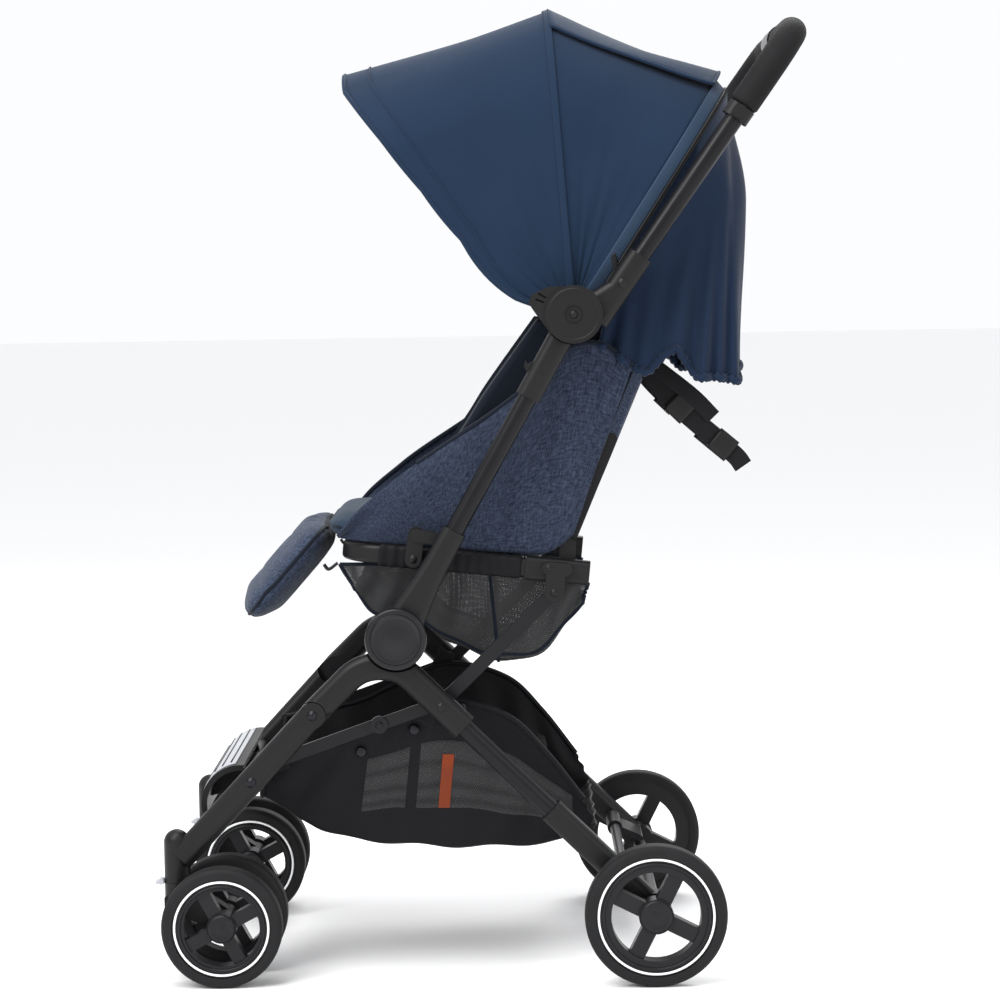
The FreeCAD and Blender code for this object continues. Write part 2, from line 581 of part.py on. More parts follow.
def handle_bracket():
    """Collar under the foam with a round side boss."""
    low, high = on_handle(GRIP_START - 15), on_handle(GRIP_START - CLEAR)
    solid = bar(at(low, FRAME_X), at(high, FRAME_X), MAIN_DEPTH + 8, TUBE_HEIGHT + 9, 10.0)
    middle = on_handle(GRIP_START - 7)
    solid = fuse(solid, rod(middle, FRAME_X, FRAME_OUT + 4.5, 7.2))
    bore = bar(at(polar(low, HANDLE_ANGLE, -2), FRAME_X), at(polar(high, HANDLE_ANGLE, 2), FRAME_X),
               MAIN_DEPTH + 2 * SLIP, TUBE_HEIGHT + 2 * SLIP, OVAL + SLIP)
    return solid.cut(bore)


def latch_housing():
    """Fold latch housing round the middle of the cross bar, with a pocket for the button."""
    middle = on_handle(HANDLE_REACH)
    solid = rod(middle, -HOUSING_HALF, HOUSING_HALF, GRIP_R + 1.0)
    solid = solid.cut(Part.makeCylinder(BUTTON_R + CLEAR, 30, at(polar(middle, HANDLE_ANGLE - 90, BUTTON_FLOOR), 0),
                                        at(polar((0, 0), HANDLE_ANGLE - 90, 1), 0)))
    bore = sweep(handle_points(GRIP_START), HANDLE_BEND, V(1, 0, 0), MAIN_DEPTH + 2 * SLIP, TUBE_HEIGHT + 2 * SLIP,
                 OVAL + SLIP)
    return solid.cut(bore)


BUTTON_R = 9.0
BUTTON_FLOOR = TUBE_HEIGHT / 2 + 1.6
BUTTON_TRAVEL = 2.5


def fold_button():
    middle = on_handle(HANDLE_REACH)
    way = at(polar((0, 0), HANDLE_ANGLE - 90, 1), 0)
    start = at(polar(middle, HANDLE_ANGLE - 90, BUTTON_FLOOR + BUTTON_TRAVEL + 0.2), 0)
    end = GRIP_R + 2.4
    solid = Part.makeCylinder(BUTTON_R, end - BUTTON_FLOOR - BUTTON_TRAVEL - 0.2, start, way)
    return solid.makeFillet(0.8, [e for e in solid.Edges if e.Closed])


# ---- canopy ----
INNER_PLATE = (FRAME_IN - 4.2, FRAME_IN - CLEAR)
MID_EYE = (INNER_PLATE[0] - 0.4 - BOW_T - 0.6, INNER_PLATE[0] - 0.4)
FRONT_EYE = (MID_EYE[0] - 0.4 - BOW_T - 0.6, MID_EYE[0] - 0.4)


def canopy_mount():
    """Outer hinge cover with its canopy arm, the hinge pin and the inner plate, all turning together."""
    face = FRAME_OUT + CLEAR
    cover = rod(HINGE, face, face + COVER_T, COVER_R)
    dish = rod(HINGE, face + COVER_T - 2.2, face + COVER_T + 1, 9.5)
    arm = [polar(HINGE, 90, COVER_R - 1), polar(HINGE, 131, COVER_R + 8), polar(HINGE, 153, COVER_R + 17),
           polar(HINGE, 164, COVER_R + 18), polar(HINGE, 217, COVER_R + 1), polar(HINGE, 235, COVER_R - 1), HINGE]
    solid = fuse(cover, plate(arm, face, face + COVER_T - 2)).cut(dish)
    slots = [plate([polar(HINGE, a, COVER_R + 3), polar(HINGE, a + 3, COVER_R + 3), polar(HINGE, a + 3, COVER_R + 12),
                    polar(HINGE, a, COVER_R + 12)], face + 3, face + COVER_T) for a in (147, 156)]
    for slot in slots:
        solid = solid.cut(slot)
    pin = rod(HINGE, FRONT_EYE[0] + 0.3, face + 2, AXLE_R)
    head = dome_head(HINGE, face + COVER_T - 2.4, 4.6, 2.6)
    return fuse(solid, pin, head, rod(HINGE, INNER_PLATE[0], INNER_PLATE[1], 20.0))


FRONT_BOW = CANOPY_FRONT[0] - FRONT_BOW_BACK
BOW_UNDER = CANOPY_WALL + BOW_T / 2 + 4.4


def panel_reach(angle):
    """Reach of the front panel's ridge at an angle between the middle bow and the front edge."""
    p, q = polar((0, 0), *CANOPY_MID), polar((0, 0), *CANOPY_FRONT)
    c, s = math.cos(math.radians(angle)), math.sin(math.radians(angle))
    return (p[0] * q[1] - q[0] * p[1]) / (c * (q[1] - p[1]) - s * (q[0] - p[0]))


def hood_wire(angle, reach, half, corner, base):
    """Upside-down U outline, closed at its base, in a plane through the hinge axis."""
    def point(x, r):
        return at(polar(HINGE, angle, r), x)
    c = min(corner, half - 1, reach - base - 1)
    k = c * (1 - math.sqrt(0.5))
    edges = [
        Part.LineSegment(point(-half, base), point(-half, reach - c)).toShape(),
        Part.Arc(point(-half, reach - c), point(-half + k, reach - k), point(-half + c, reach)).toShape(),
        Part.LineSegment(point(-half + c, reach), point(half - c, reach)).toShape(),
        Part.Arc(point(half - c, reach), point(half - k, reach - k), point(half, reach - c)).toShape(),
        Part.LineSegment(point(half, reach - c), point(half, base)).toShape(),
        Part.LineSegment(point(half, base), point(-half, base)).toShape(),
    ]
    return Part.Wire(edges)


PANEL_BASE = 36.0


def canopy_panel(first, last):
    """Fabric shell stretched between two reaches, open below and at both ends."""
    outer = loft([hood_wire(a, r, CANOPY_HALF, CANOPY_CORNER, PANEL_BASE) for a, r in (first, last)], True)
    wall = CANOPY_WALL
    inner = loft([hood_wire(a, r - wall, CANOPY_HALF - wall, CANOPY_CORNER - wall, PANEL_BASE - 12)
                  for a, r in (first, last)], True)
    return outer.cut(inner)


def bow(angle, reach, eye):
    """Flat U-shaped bow with an eye at each end about the hinge pin."""
    x = (eye[0] + eye[1]) / 2
    top = polar(HINGE, angle, reach)
    low = polar(HINGE, angle, 6.0)
    points = [at(low, x), at(top, x), at(top, -x), at(low, -x)]
    normal = at(polar((0, 0), angle + 90, 1), 0)
    solid = sweep(points, CANOPY_CORNER - CANOPY_WALL - 3, normal, BOW_W, BOW_T, 1.5)
    for sign in (1, -1):
        x0, x1 = sorted((sign * eye[0], sign * eye[1]))
        solid = fuse(solid, rod(HINGE, x0, x1, EYE_R))
        solid = solid.cut(rod(HINGE, x0 - 2, x1 + 2, AXLE_R + RUN))
    return solid


def back_curtain():
    """Fabric drop behind the seat back: a rear wall and two side gussets."""
    wall = 3.0
    half = 166.0
    top = polar(HINGE, CANOPY_REAR[0] - 0.12, CANOPY_REAR[1])
    rear_top = (top[0] + 20, top[1] - 22)
    rear_low = (top[0] + 22, HINGE[1] - 56)
    front_low = (HINGE[0] + 76, HINGE[1] - 60)
    front_high = (HINGE[0] + 72, HINGE[1] + 40)
    outline = [top, rear_top, rear_low, front_low, front_high]
    inner = [(top[0] - 6, top[1] - 14), (rear_top[0] - wall, rear_top[1] - 1), (rear_low[0] - wall, rear_low[1] - 5),
             (front_low[0] - 40, front_low[1] - 5), (front_high[0] - 40, front_high[1])]
    return plate(outline, -half, half).cut(plate(inner, wall - half, half - wall))


# ---- seat ----
def seat_rail():
    """U-shaped seat rail, open at the back."""
    rear, front = on_rail(RAIL_LENGTH), on_rail(RAIL_WIDTH / 2)
    points = [at(rear, RAIL_X), at(front, RAIL_X), at(front, -RAIL_X), at(rear, -RAIL_X)]
    solid = sweep(points, RAIL_BEND, V(1, 0, 0), RAIL_WIDTH, RAIL_HEIGHT, 5.0)
    for sign in (1, -1):
        x0, x1 = sorted((sign * (RAIL_OUT - 12.5), sign * (RAIL_OUT + 1)))
        solid = solid.cut(rod(SEAT_PIVOT, x0, x1, 3.0 + RUN))
    return solid


def rail_bracket():
    """Moulded end of the rail with the strut boss below and the seat-back lug above."""
    start, end = on_rail(RAIL_LENGTH - 64), on_rail(RAIL_LENGTH + 3)
    solid = bar(at(start, RAIL_X), at(end, RAIL_X), RAIL_WIDTH + 3.4, RAIL_HEIGHT + 4.6, 5.0)
    bore = bar(at(on_rail(RAIL_LENGTH - 70), RAIL_X), at(on_rail(RAIL_LENGTH + 0.1), RAIL_X), RAIL_WIDTH + 2 * SLIP,
               RAIL_HEIGHT + 2 * SLIP, 5.0)
    boss_in = STRUT_OUT + CLEAR + 0.3
    above = on_rail(STRUT_TOP_ALONG, -2.0)
    side = link(STRUT_TOP, above, 20.0, boss_in, boss_in + 5)
    bridge = link(on_rail(STRUT_TOP_ALONG - 8, 3.0), on_rail(STRUT_TOP_ALONG + 10, 3.0), 13.0, RAIL_OUT + 1, boss_in + 5)
    heads = [dome_head(STRUT_TOP, boss_in + 4.8, 4.5, 2.4), dome_head(on_rail(STRUT_TOP_ALONG - 8, 3), boss_in + 4.8, 4.0, 2)]
    lug_in = RAIL_IN - 1.7
    lug = link(BACK_HINGE, on_rail(236.0, 6.0), 17.0, lug_in, lug_in + 5)
    solid = fuse(solid, side, bridge, lug, *heads).cut(bore)
    return solid.cut(rod(BACK_HINGE, lug_in - 1, lug_in + 3.5, PIN_R + RUN))


def seat_strut():
    solid = link(STRUT_LOW, STRUT_TOP, STRUT_W, STRUT_IN, STRUT_OUT)
    return solid.cut(rod(STRUT_LOW, STRUT_IN - 1, STRUT_OUT + 1, PIN_R + RUN))


def brace_link_rear():
    solid = fuse(link(STRUT_LOW, BRACE_ELBOW, 13.0, LINK_IN, LINK_OUT), rod(BRACE_ELBOW, LINK_IN, LINK_OUT + 3.4, 9.0))
    solid = fuse(solid, dome_head(BRACE_ELBOW, LINK_OUT + 3.2, 4.5, 2.4))
    return solid.cut(rod(STRUT_LOW, LINK_IN - 1, LINK_OUT + 1, PIN_R + RUN))


def brace_link_front():
    solid = link(BRACE_LOW, BRACE_ELBOW, 13.0, BRACE_IN, BRACE_OUT)
    return solid.cut(rod(BRACE_LOW, BRACE_IN - 1, BRACE_OUT + 1, PIN_R + RUN))


def back_hinge_rod():
    """Rod that the seat back hangs on, between the two rail brackets, with a steel arm up each side of the back."""
    lug_in = RAIL_IN - 1.7
    inner = BACK_HALF + 2 * CLEAR
    tip = polar(BACK_HINGE, BACK_ANGLE, YOKE_REACH)
    arms = [link(BACK_HINGE, tip, YOKE_W, x, x + YOKE_T) for x in (inner, -inner - YOKE_T)]
    rods = [rod(BACK_HINGE, -lug_in + CLEAR, lug_in - CLEAR, 5.0), rod(BACK_HINGE, -lug_in - 3, lug_in + 3, PIN_R)]
    return fuse(*rods, *arms)


YOKE_REACH = 120.0           # length of the yoke arms, up from the seat back's hinge
YOKE_W = 13.0
YOKE_T = 4.0


def backrest():
    """Padded board that turns on the rod."""
    front, rear = BACK_THICK - 9.0, -9.0
    low, high = 2.0, BACK_LENGTH

    def p(along, ahead):
        return polar(polar(BACK_HINGE, BACK_ANGLE, along), BACK_ANGLE + 90, ahead)
    solid = plate([p(low, rear), p(high, rear), p(high, front), p(low + 30, front), p(low, 7)], -BACK_HALF, BACK_HALF)
    return solid.cut(rod(BACK_HINGE, -BACK_HALF - 1, BACK_HALF + 1, 5.0 + CLEAR))


def seat_cushion():
    front = LEG_REST_HINGE[0] + LEG_REST_R + 0.4
    low = RAIL_HEIGHT / 2 + 0.3
    rear = RAIL_LENGTH - 42
    outline = [(front, RAIL_FRONT[1] + low + 2), (front, LEG_REST_HINGE[1] + 11), on_rail(40, SEAT_TOP + 2),
               on_rail(rear - 30, SEAT_TOP - 4), on_rail(rear, SEAT_TOP + 2), on_rail(rear, low)]
    solid = plate(outline, 2.6 - RAIL_X, RAIL_X - 2.6)
    for side in (-RAIL_X, RAIL_X):
        solid = solid.cut(bar(at(on_rail(RAIL_LENGTH - 64.2), side), at(on_rail(RAIL_LENGTH + 3), side),
                              RAIL_WIDTH + 3.8, RAIL_HEIGHT + 5.0, 5.0))
    return solid


def leg_rest():
    tip = polar(LEG_REST_HINGE, LEG_REST_ANGLE, LEG_REST_LENGTH)
    return link(LEG_REST_HINGE, tip, 2 * LEG_REST_R, -LEG_REST_HALF, LEG_REST_HALF)


def seat_wing():
    """Side fabric between the push tube, the rail and the seat back."""
    low = RAIL_HEIGHT / 2 + 0.5
    outline = [on_rail(2, low), on_main(150, 42), on_main(250, 34), on_main(330, 30), on_main(MAIN_LENGTH - 40, -20),
               on_main(MAIN_LENGTH - 70, -62), on_rail(RAIL_LENGTH - 26, low + 6), on_rail(RAIL_LENGTH - 66, low + 2.5)]
    return plate(outline, RAIL_X - 2, RAIL_X + 1)


def back_point(along, ahead):
    return polar(polar(BACK_HINGE, BACK_ANGLE, along), BACK_ANGLE + 90, ahead)


def harness_straps():
    """Two shoulder straps lying on the seat back."""
    face = BACK_THICK - 9.0 + CLEAR
    strap = plate([back_point(60, face), back_point(290, face), back_point(290, face + 2), back_point(60, face + 2)],
                  35.0, 62.0)
    pad = plate([back_point(150, face + 2), back_point(280, face + 2), back_point(278, face + 9),
                 back_point(152, face + 9)], 28.0, 69.0)
    return both(fuse(strap, pad))


BUCKLE_ALONG = 70.0


def buckle_level(along):
    """Height of the cushion top above the rail line."""
    rear = RAIL_LENGTH - 72
    return SEAT_TOP + 2 - 6.0 * (along - 40) / (rear - 40)


def harness_buckle():
    """Buckle body on its crotch strap, lying on the cushion."""
    a, b = BUCKLE_ALONG, BUCKLE_ALONG + 46
    la, lb = buckle_level(a) + CLEAR, buckle_level(b) + CLEAR
    body = plate([on_rail(a, la), on_rail(b, lb), on_rail(b - 3, lb + 15), on_rail(a + 3, la + 15)], -24.0, 24.0)
    strap = plate([on_rail(a - 50, buckle_level(a - 50) + CLEAR), on_rail(a + 1, la), on_rail(a + 1, la + 2.5),
                   on_rail(a - 50, buckle_level(a - 50) + CLEAR + 2.5)], -14.0, 14.0)
    middle = on_rail((a + b) / 2, (la + lb) / 2 + 9)
    pocket = Part.makeCylinder(11.0 + CLEAR, 20, at(middle, 0), at(polar((0, 0), RAIL_ANGLE + 90, 1), 0))
    return fuse(body, strap).cut(pocket)


def buckle_button():
    a, b = BUCKLE_ALONG, BUCKLE_ALONG + 46
    level = (buckle_level(a) + buckle_level(b)) / 2 + CLEAR
    start = on_rail((a + b) / 2, level + 12.4)
    solid = Part.makeCylinder(11.0, 4.4, at(start, 0), at(polar((0, 0), RAIL_ANGLE + 90, 1), 0))
    return solid.makeFillet(0.8, [e for e in solid.Edges if e.Closed])


def recline_strap():
    """Webbing tail of the recline adjuster on the back of the seat."""
    rear = -9.0 - CLEAR
    root = back_point(204, rear)
    tip = (root[0] + 104, root[1] - 110)
    a = angle_of(root, tip)
    web = plate([root, polar(root, BACK_ANGLE, 26), polar(tip, a + 90, 2.5), tip], 96.0, 121.0)
    return web


def shell_of(outline, inner, half, wall):
    return plate(outline, -half, half).cut(plate(inner, wall - half, half - wall))


def mesh_bag():
    """Mesh pocket slung between the rails under the seat."""
    top = -RAIL_HEIGHT / 2 - 0.5
    half = RAIL_IN - 0.4
    low = HUB[1] + 13
    outline = [on_rail(6, top), on_rail(236, top), (RAIL_REAR[0] + 4, RAIL_REAR[1] - 22), (HUB[0] + 152, HUB[1] - 24),
               (HUB[0] + 117, HUB[1] - 36), (HUB[0] + 52, low - 22), (HUB[0] + 18, low), (HUB[0] - 26, low + 2)]
    inner = [on_rail(9, top + 1), on_rail(232, top + 1), (RAIL_REAR[0] + 0.5, RAIL_REAR[1] - 21),
             (HUB[0] + 150, HUB[1] - 21.5), (HUB[0] + 117, HUB[1] - 33.8), (HUB[0] + 53, low - 19.8),
             (HUB[0] + 19, low + 2.2), (HUB[0] - 25, low + 4.2)]
    return shell_of(outline, inner, half, 2.0)


def basket():
    """Shopping basket between the legs, open at the top."""
    low = REAR_WHEEL_R + 54
    outline = [(LEG_HINGE[0] - 54, LEG_HINGE[1] - 52), (LEG_HINGE[0] - 56, LEG_HINGE[1] - 96), (HUB[0] - 60, low + 14),
               (HUB[0] + 48, low), (HUB[0] + 160, low + 4), (HUB[0] + 206, low + 20), (HUB[0] + 184, low + 62),
               (HUB[0] + 112, low + 150), (HUB[0] + 46, HUB[1] - 73), (HUB[0] - 20, HUB[1] - 97)]
    inner = [(LEG_HINGE[0] - 51, LEG_HINGE[1] - 40), (LEG_HINGE[0] - 53, LEG_HINGE[1] - 94), (HUB[0] - 59.5, low + 16.6),
             (HUB[0] + 48, low + 2.6), (HUB[0] + 159, low + 6.6), (HUB[0] + 202.6, low + 21.5), (HUB[0] + 181.5, low + 60.8),
             (HUB[0] + 110, low + 148), (HUB[0] + 60, HUB[1] - 50), (HUB[0] - 20, HUB[1] - 60)]
    return shell_of(outline, inner, BASKET_HALF, 2.5)


def build():
    """Every node by name."""
    nodes = {
        "hub_arches": both(hub_arch()),
        "rear_leg_tubes": both(rear_leg_tube()),
        "rear_feet": both(rear_foot()),
        "rear_axle": rear_axle(),
        "hub_caps": both(hub_cap()),
        "hub_cross_tube": hub_cross_tube(),
        "brake_pedal": brake_pedal(),
        "front_cross_bar": front_cross_bar(),
        "step_plate": step_plate(),
        "front_leg_pins": front_leg_pins(),
        "main_tubes": both(main_tube()),
        "hinge_sleeves": both(hinge_sleeve()),
        "upper_sleeves": both(upper_sleeve()),
        "handle_tube": handle_tube(),
        "handle_brackets": both(handle_bracket()),
        "foam_grip": foam_grip(),
        "latch_housing": latch_housing(),
        "fold_button": fold_button(),
        "canopy_mounts": both(canopy_mount()),
        "canopy_mid_bow": bow(CANOPY_MID[0], CANOPY_MID[1] - BOW_UNDER, MID_EYE),
        "canopy_front_bow": bow(FRONT_BOW, panel_reach(FRONT_BOW) - BOW_UNDER, FRONT_EYE),
        "canopy_rear_panel": canopy_panel(CANOPY_REAR, (CANOPY_MID[0] - 0.1, CANOPY_MID[1])),
        "canopy_front_panel": canopy_panel((CANOPY_MID[0] + 0.1, CANOPY_MID[1]), CANOPY_FRONT),
        "back_curtain": back_curtain(),
        "seat_rail": seat_rail(),
        "rail_brackets": both(rail_bracket()),
        "seat_struts": both(seat_strut()),
        "brace_links_rear": both(brace_link_rear()),
        "brace_links_front": both(brace_link_front()),
        "back_hinge_rod": back_hinge_rod(),
        "backrest": backrest(),
        "seat_cushion": seat_cushion(),
        "leg_rest": leg_rest(),
        "seat_wings": both(seat_wing()),
        "harness_straps": harness_straps(),
        "harness_buckle": harness_buckle(),
        "buckle_button": buckle_button(),
        "recline_straps": both(recline_strap()),
        "mesh_bag": mesh_bag(),
        "basket": basket(),
    }
    for side, sign in (("left", 1), ("right", -1)):
        leg, sleeve = front_leg(), hub_sleeve()
        nodes["front_leg_" + side] = leg if sign > 0 else mirrored(leg)
        nodes["hub_sleeve_" + side] = sleeve if sign > 0 else mirrored(sleeve)
        nodes["caster_fork_" + side] = caster_fork(sign)
        nodes["swivel_lock_" + side] = swivel_lock(sign)
        rim = wheel(REAR_AXLE, REAR_WHEEL_IN, REAR_TYRE_W, REAR_WHEEL_R, 4, 63)
        rubber = tyre(REAR_AXLE, REAR_WHEEL_IN, REAR_TYRE_W, REAR_WHEEL_R)
        nodes["rear_wheel_" + side] = rim if sign > 0 else mirrored(rim)
        nodes["rear_tyre_" + side] = rubber if sign > 0 else mirrored(rubber)
        outer = CASTER_X + CASTER_GAP / 2
        for name, flip in (("outer", 1), ("inner", -1)):
            rim = wheel(FRONT_AXLE, outer, FRONT_TYRE_W, FRONT_WHEEL_R, 4, 28)
            rubber = tyre(FRONT_AXLE, outer, FRONT_TYRE_W, FRONT_WHEEL_R)
            for part, shape in (("front_wheel", rim), ("front_tyre", rubber)):
                if flip < 0:
                    shape = shape.mirror(V(CASTER_X, 0, 0), V(1, 0, 0))
                nodes[f"{part}_{side}_{name}"] = shape if sign > 0 else mirrored(shape)
    return nodes


def export(nodes):
    os.makedirs("parts", exist_ok=True)
    for name, shape in nodes.items():
        shape = shape.copy()
        shape.translate(V(0, SHIFT_Y, 0))
        shape.exportStep(f"parts/{name}.step")


def report(nodes):
    for name, shape in sorted(nodes.items()):
        box = shape.BoundBox
        print(f"{name:24s} solids {len(shape.Solids)} valid {shape.isValid()} volume {shape.Volume / 1000:8.1f} cm3 "
              f"x {box.XMin:7.1f} {box.XMax:7.1f} y {box.YMin + SHIFT_Y:7.1f} {box.YMax + SHIFT_Y:7.1f} "
              f"z {box.ZMin:7.1f} {box.ZMax:7.1f}")


NODES = build()
export(NODES)
report(NODES)
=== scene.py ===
"""Looks of the folding baby stroller: soft goods, trims and finishes over its fixed frame.

The frame is in metres, +Z up; the stroller faces -Y and its left side is +X. Side points are (y, z) pairs.
"""
from __future__ import annotations

import json
import logging
import math
from dataclasses import dataclass, field
from enum import Enum
from typing import Callable, Iterable, Sequence

import bpy
import numpy as np
from mathutils import Matrix, Vector
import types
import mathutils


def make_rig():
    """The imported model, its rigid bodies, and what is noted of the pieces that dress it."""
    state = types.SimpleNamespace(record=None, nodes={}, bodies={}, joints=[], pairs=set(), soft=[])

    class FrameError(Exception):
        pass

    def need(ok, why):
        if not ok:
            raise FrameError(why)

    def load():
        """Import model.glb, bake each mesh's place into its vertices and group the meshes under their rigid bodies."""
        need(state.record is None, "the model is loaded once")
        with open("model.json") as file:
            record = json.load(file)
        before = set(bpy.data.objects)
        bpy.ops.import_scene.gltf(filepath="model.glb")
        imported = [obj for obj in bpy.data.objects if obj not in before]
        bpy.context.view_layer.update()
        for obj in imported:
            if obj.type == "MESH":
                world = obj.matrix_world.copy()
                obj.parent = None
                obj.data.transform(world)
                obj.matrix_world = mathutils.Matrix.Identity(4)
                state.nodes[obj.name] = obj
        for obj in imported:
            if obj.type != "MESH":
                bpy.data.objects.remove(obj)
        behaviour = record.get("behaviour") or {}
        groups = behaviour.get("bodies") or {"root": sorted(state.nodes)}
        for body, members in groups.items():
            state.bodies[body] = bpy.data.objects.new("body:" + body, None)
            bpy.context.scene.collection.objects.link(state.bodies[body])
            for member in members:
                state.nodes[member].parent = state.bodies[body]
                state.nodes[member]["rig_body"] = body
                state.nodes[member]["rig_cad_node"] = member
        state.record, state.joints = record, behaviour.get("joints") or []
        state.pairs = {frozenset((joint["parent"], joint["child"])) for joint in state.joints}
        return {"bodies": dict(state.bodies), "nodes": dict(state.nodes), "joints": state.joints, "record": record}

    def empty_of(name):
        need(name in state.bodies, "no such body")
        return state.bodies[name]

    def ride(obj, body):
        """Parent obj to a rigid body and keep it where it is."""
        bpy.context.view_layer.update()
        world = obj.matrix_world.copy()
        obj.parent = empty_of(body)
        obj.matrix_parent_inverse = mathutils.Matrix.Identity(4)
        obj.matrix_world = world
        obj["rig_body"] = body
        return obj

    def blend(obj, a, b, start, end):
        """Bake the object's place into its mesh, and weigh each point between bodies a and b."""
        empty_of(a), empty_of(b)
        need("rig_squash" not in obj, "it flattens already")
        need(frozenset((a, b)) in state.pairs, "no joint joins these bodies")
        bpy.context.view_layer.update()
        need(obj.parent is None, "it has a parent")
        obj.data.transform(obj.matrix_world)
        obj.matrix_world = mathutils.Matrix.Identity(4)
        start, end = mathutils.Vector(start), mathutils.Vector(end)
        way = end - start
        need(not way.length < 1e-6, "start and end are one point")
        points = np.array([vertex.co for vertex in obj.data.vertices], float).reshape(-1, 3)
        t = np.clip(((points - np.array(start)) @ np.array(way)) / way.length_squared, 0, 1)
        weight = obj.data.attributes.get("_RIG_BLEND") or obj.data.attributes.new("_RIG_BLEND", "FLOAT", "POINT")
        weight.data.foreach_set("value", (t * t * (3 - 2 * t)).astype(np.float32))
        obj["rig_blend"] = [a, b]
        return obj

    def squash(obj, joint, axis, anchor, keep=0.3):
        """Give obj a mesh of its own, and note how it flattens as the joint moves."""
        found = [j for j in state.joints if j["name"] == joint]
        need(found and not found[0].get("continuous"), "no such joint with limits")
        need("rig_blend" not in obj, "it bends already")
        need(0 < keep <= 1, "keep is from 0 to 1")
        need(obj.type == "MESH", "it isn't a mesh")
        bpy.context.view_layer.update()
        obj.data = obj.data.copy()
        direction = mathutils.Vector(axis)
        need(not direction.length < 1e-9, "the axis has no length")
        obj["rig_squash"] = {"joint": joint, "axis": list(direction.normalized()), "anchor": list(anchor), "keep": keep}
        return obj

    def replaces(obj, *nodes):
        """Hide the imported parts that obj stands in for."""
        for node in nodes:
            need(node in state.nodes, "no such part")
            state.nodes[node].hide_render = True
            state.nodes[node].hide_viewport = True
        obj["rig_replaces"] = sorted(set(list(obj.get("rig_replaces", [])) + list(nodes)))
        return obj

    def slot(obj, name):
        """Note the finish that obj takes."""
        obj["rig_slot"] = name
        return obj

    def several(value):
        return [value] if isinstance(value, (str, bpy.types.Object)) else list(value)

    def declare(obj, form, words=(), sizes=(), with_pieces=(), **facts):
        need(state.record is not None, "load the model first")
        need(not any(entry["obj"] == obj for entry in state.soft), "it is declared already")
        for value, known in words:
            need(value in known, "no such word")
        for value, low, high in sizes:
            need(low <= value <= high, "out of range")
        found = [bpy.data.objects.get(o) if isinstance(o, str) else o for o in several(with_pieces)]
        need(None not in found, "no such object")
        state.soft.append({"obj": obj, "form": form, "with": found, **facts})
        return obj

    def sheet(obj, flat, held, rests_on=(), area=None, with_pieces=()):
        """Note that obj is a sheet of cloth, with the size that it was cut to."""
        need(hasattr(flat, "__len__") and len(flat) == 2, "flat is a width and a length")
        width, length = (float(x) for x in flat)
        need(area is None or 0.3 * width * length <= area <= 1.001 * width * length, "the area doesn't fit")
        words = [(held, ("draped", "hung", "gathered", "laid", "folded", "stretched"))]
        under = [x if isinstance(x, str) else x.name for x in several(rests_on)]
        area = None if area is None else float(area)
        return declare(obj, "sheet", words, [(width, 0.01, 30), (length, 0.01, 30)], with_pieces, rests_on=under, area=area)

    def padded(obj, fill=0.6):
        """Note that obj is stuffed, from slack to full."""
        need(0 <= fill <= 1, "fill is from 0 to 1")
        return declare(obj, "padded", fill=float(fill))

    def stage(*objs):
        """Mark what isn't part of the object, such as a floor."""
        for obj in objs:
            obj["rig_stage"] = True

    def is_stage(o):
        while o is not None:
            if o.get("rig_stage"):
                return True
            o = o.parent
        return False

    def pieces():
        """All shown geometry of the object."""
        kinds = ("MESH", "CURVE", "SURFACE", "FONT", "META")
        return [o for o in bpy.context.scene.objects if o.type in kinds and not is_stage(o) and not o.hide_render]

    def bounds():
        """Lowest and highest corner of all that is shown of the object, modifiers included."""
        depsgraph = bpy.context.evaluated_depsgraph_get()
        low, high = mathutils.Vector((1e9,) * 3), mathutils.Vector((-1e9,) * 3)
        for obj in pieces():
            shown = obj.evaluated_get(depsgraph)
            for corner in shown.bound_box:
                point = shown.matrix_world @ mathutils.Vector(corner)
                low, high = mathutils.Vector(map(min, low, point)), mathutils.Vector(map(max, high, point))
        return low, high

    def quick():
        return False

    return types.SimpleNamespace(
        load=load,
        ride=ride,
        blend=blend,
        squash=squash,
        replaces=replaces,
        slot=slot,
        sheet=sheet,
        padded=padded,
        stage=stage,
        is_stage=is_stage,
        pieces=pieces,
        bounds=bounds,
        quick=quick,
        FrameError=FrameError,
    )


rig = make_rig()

LOG = logging.getLogger("stroller")
Side = tuple[float, float]
Array = np.ndarray

# Pivots and axles in the side plane, before ORIGIN is added.
HINGE: Side = (0.0995, 0.6873)
HUB: Side = (-0.0875, 0.3581)
REAR_AXLE: Side = (0.1747, 0.0730)
FRONT_AXLE: Side = (-0.2718, 0.0625)
BACK_HINGE: Side = (0.0912, 0.4460)
LEG_REST_HINGE: Side = (-0.1728, 0.4730)
RAIL_FRONT: Side = (-0.1448, 0.4450)
RAIL_ANGLE = -6.044
FRAME_X = 0.197
# What every new mesh is moved by, so that the origin stands under the middle of the stroller.
ORIGIN = np.array([0.0, -0.0017, 0.0])
# The hood's fabric is lifted and sagged along lines from this point.
HOOD_CENTRE = np.array([0, HINGE[0] + 0.02, HINGE[1] + 0.12])


# ---- plane helpers ----
def polar(origin: Side, angle: float, reach: float) -> Side:
    """Side point at an angle in degrees and a reach from another."""
    a = math.radians(angle)
    return (origin[0] + reach * math.cos(a), origin[1] + reach * math.sin(a))


def along(origin: Side, angle: float, forward: float, left: float) -> Side:
    """Side point forward along an angle and left of it."""
    return polar(polar(origin, angle, forward), angle + 90, left)


def smooth(t: Array) -> Array:
    """Smooth step: 3 t squared less 2 t cubed, held to 0..1."""
    t = np.clip(t, 0, 1)
    return t * t * (3 - 2 * t)


def unit(v: Array) -> Array:
    """Directions of a set of vectors."""
    return v / np.linalg.norm(v, axis=-1, keepdims=True)


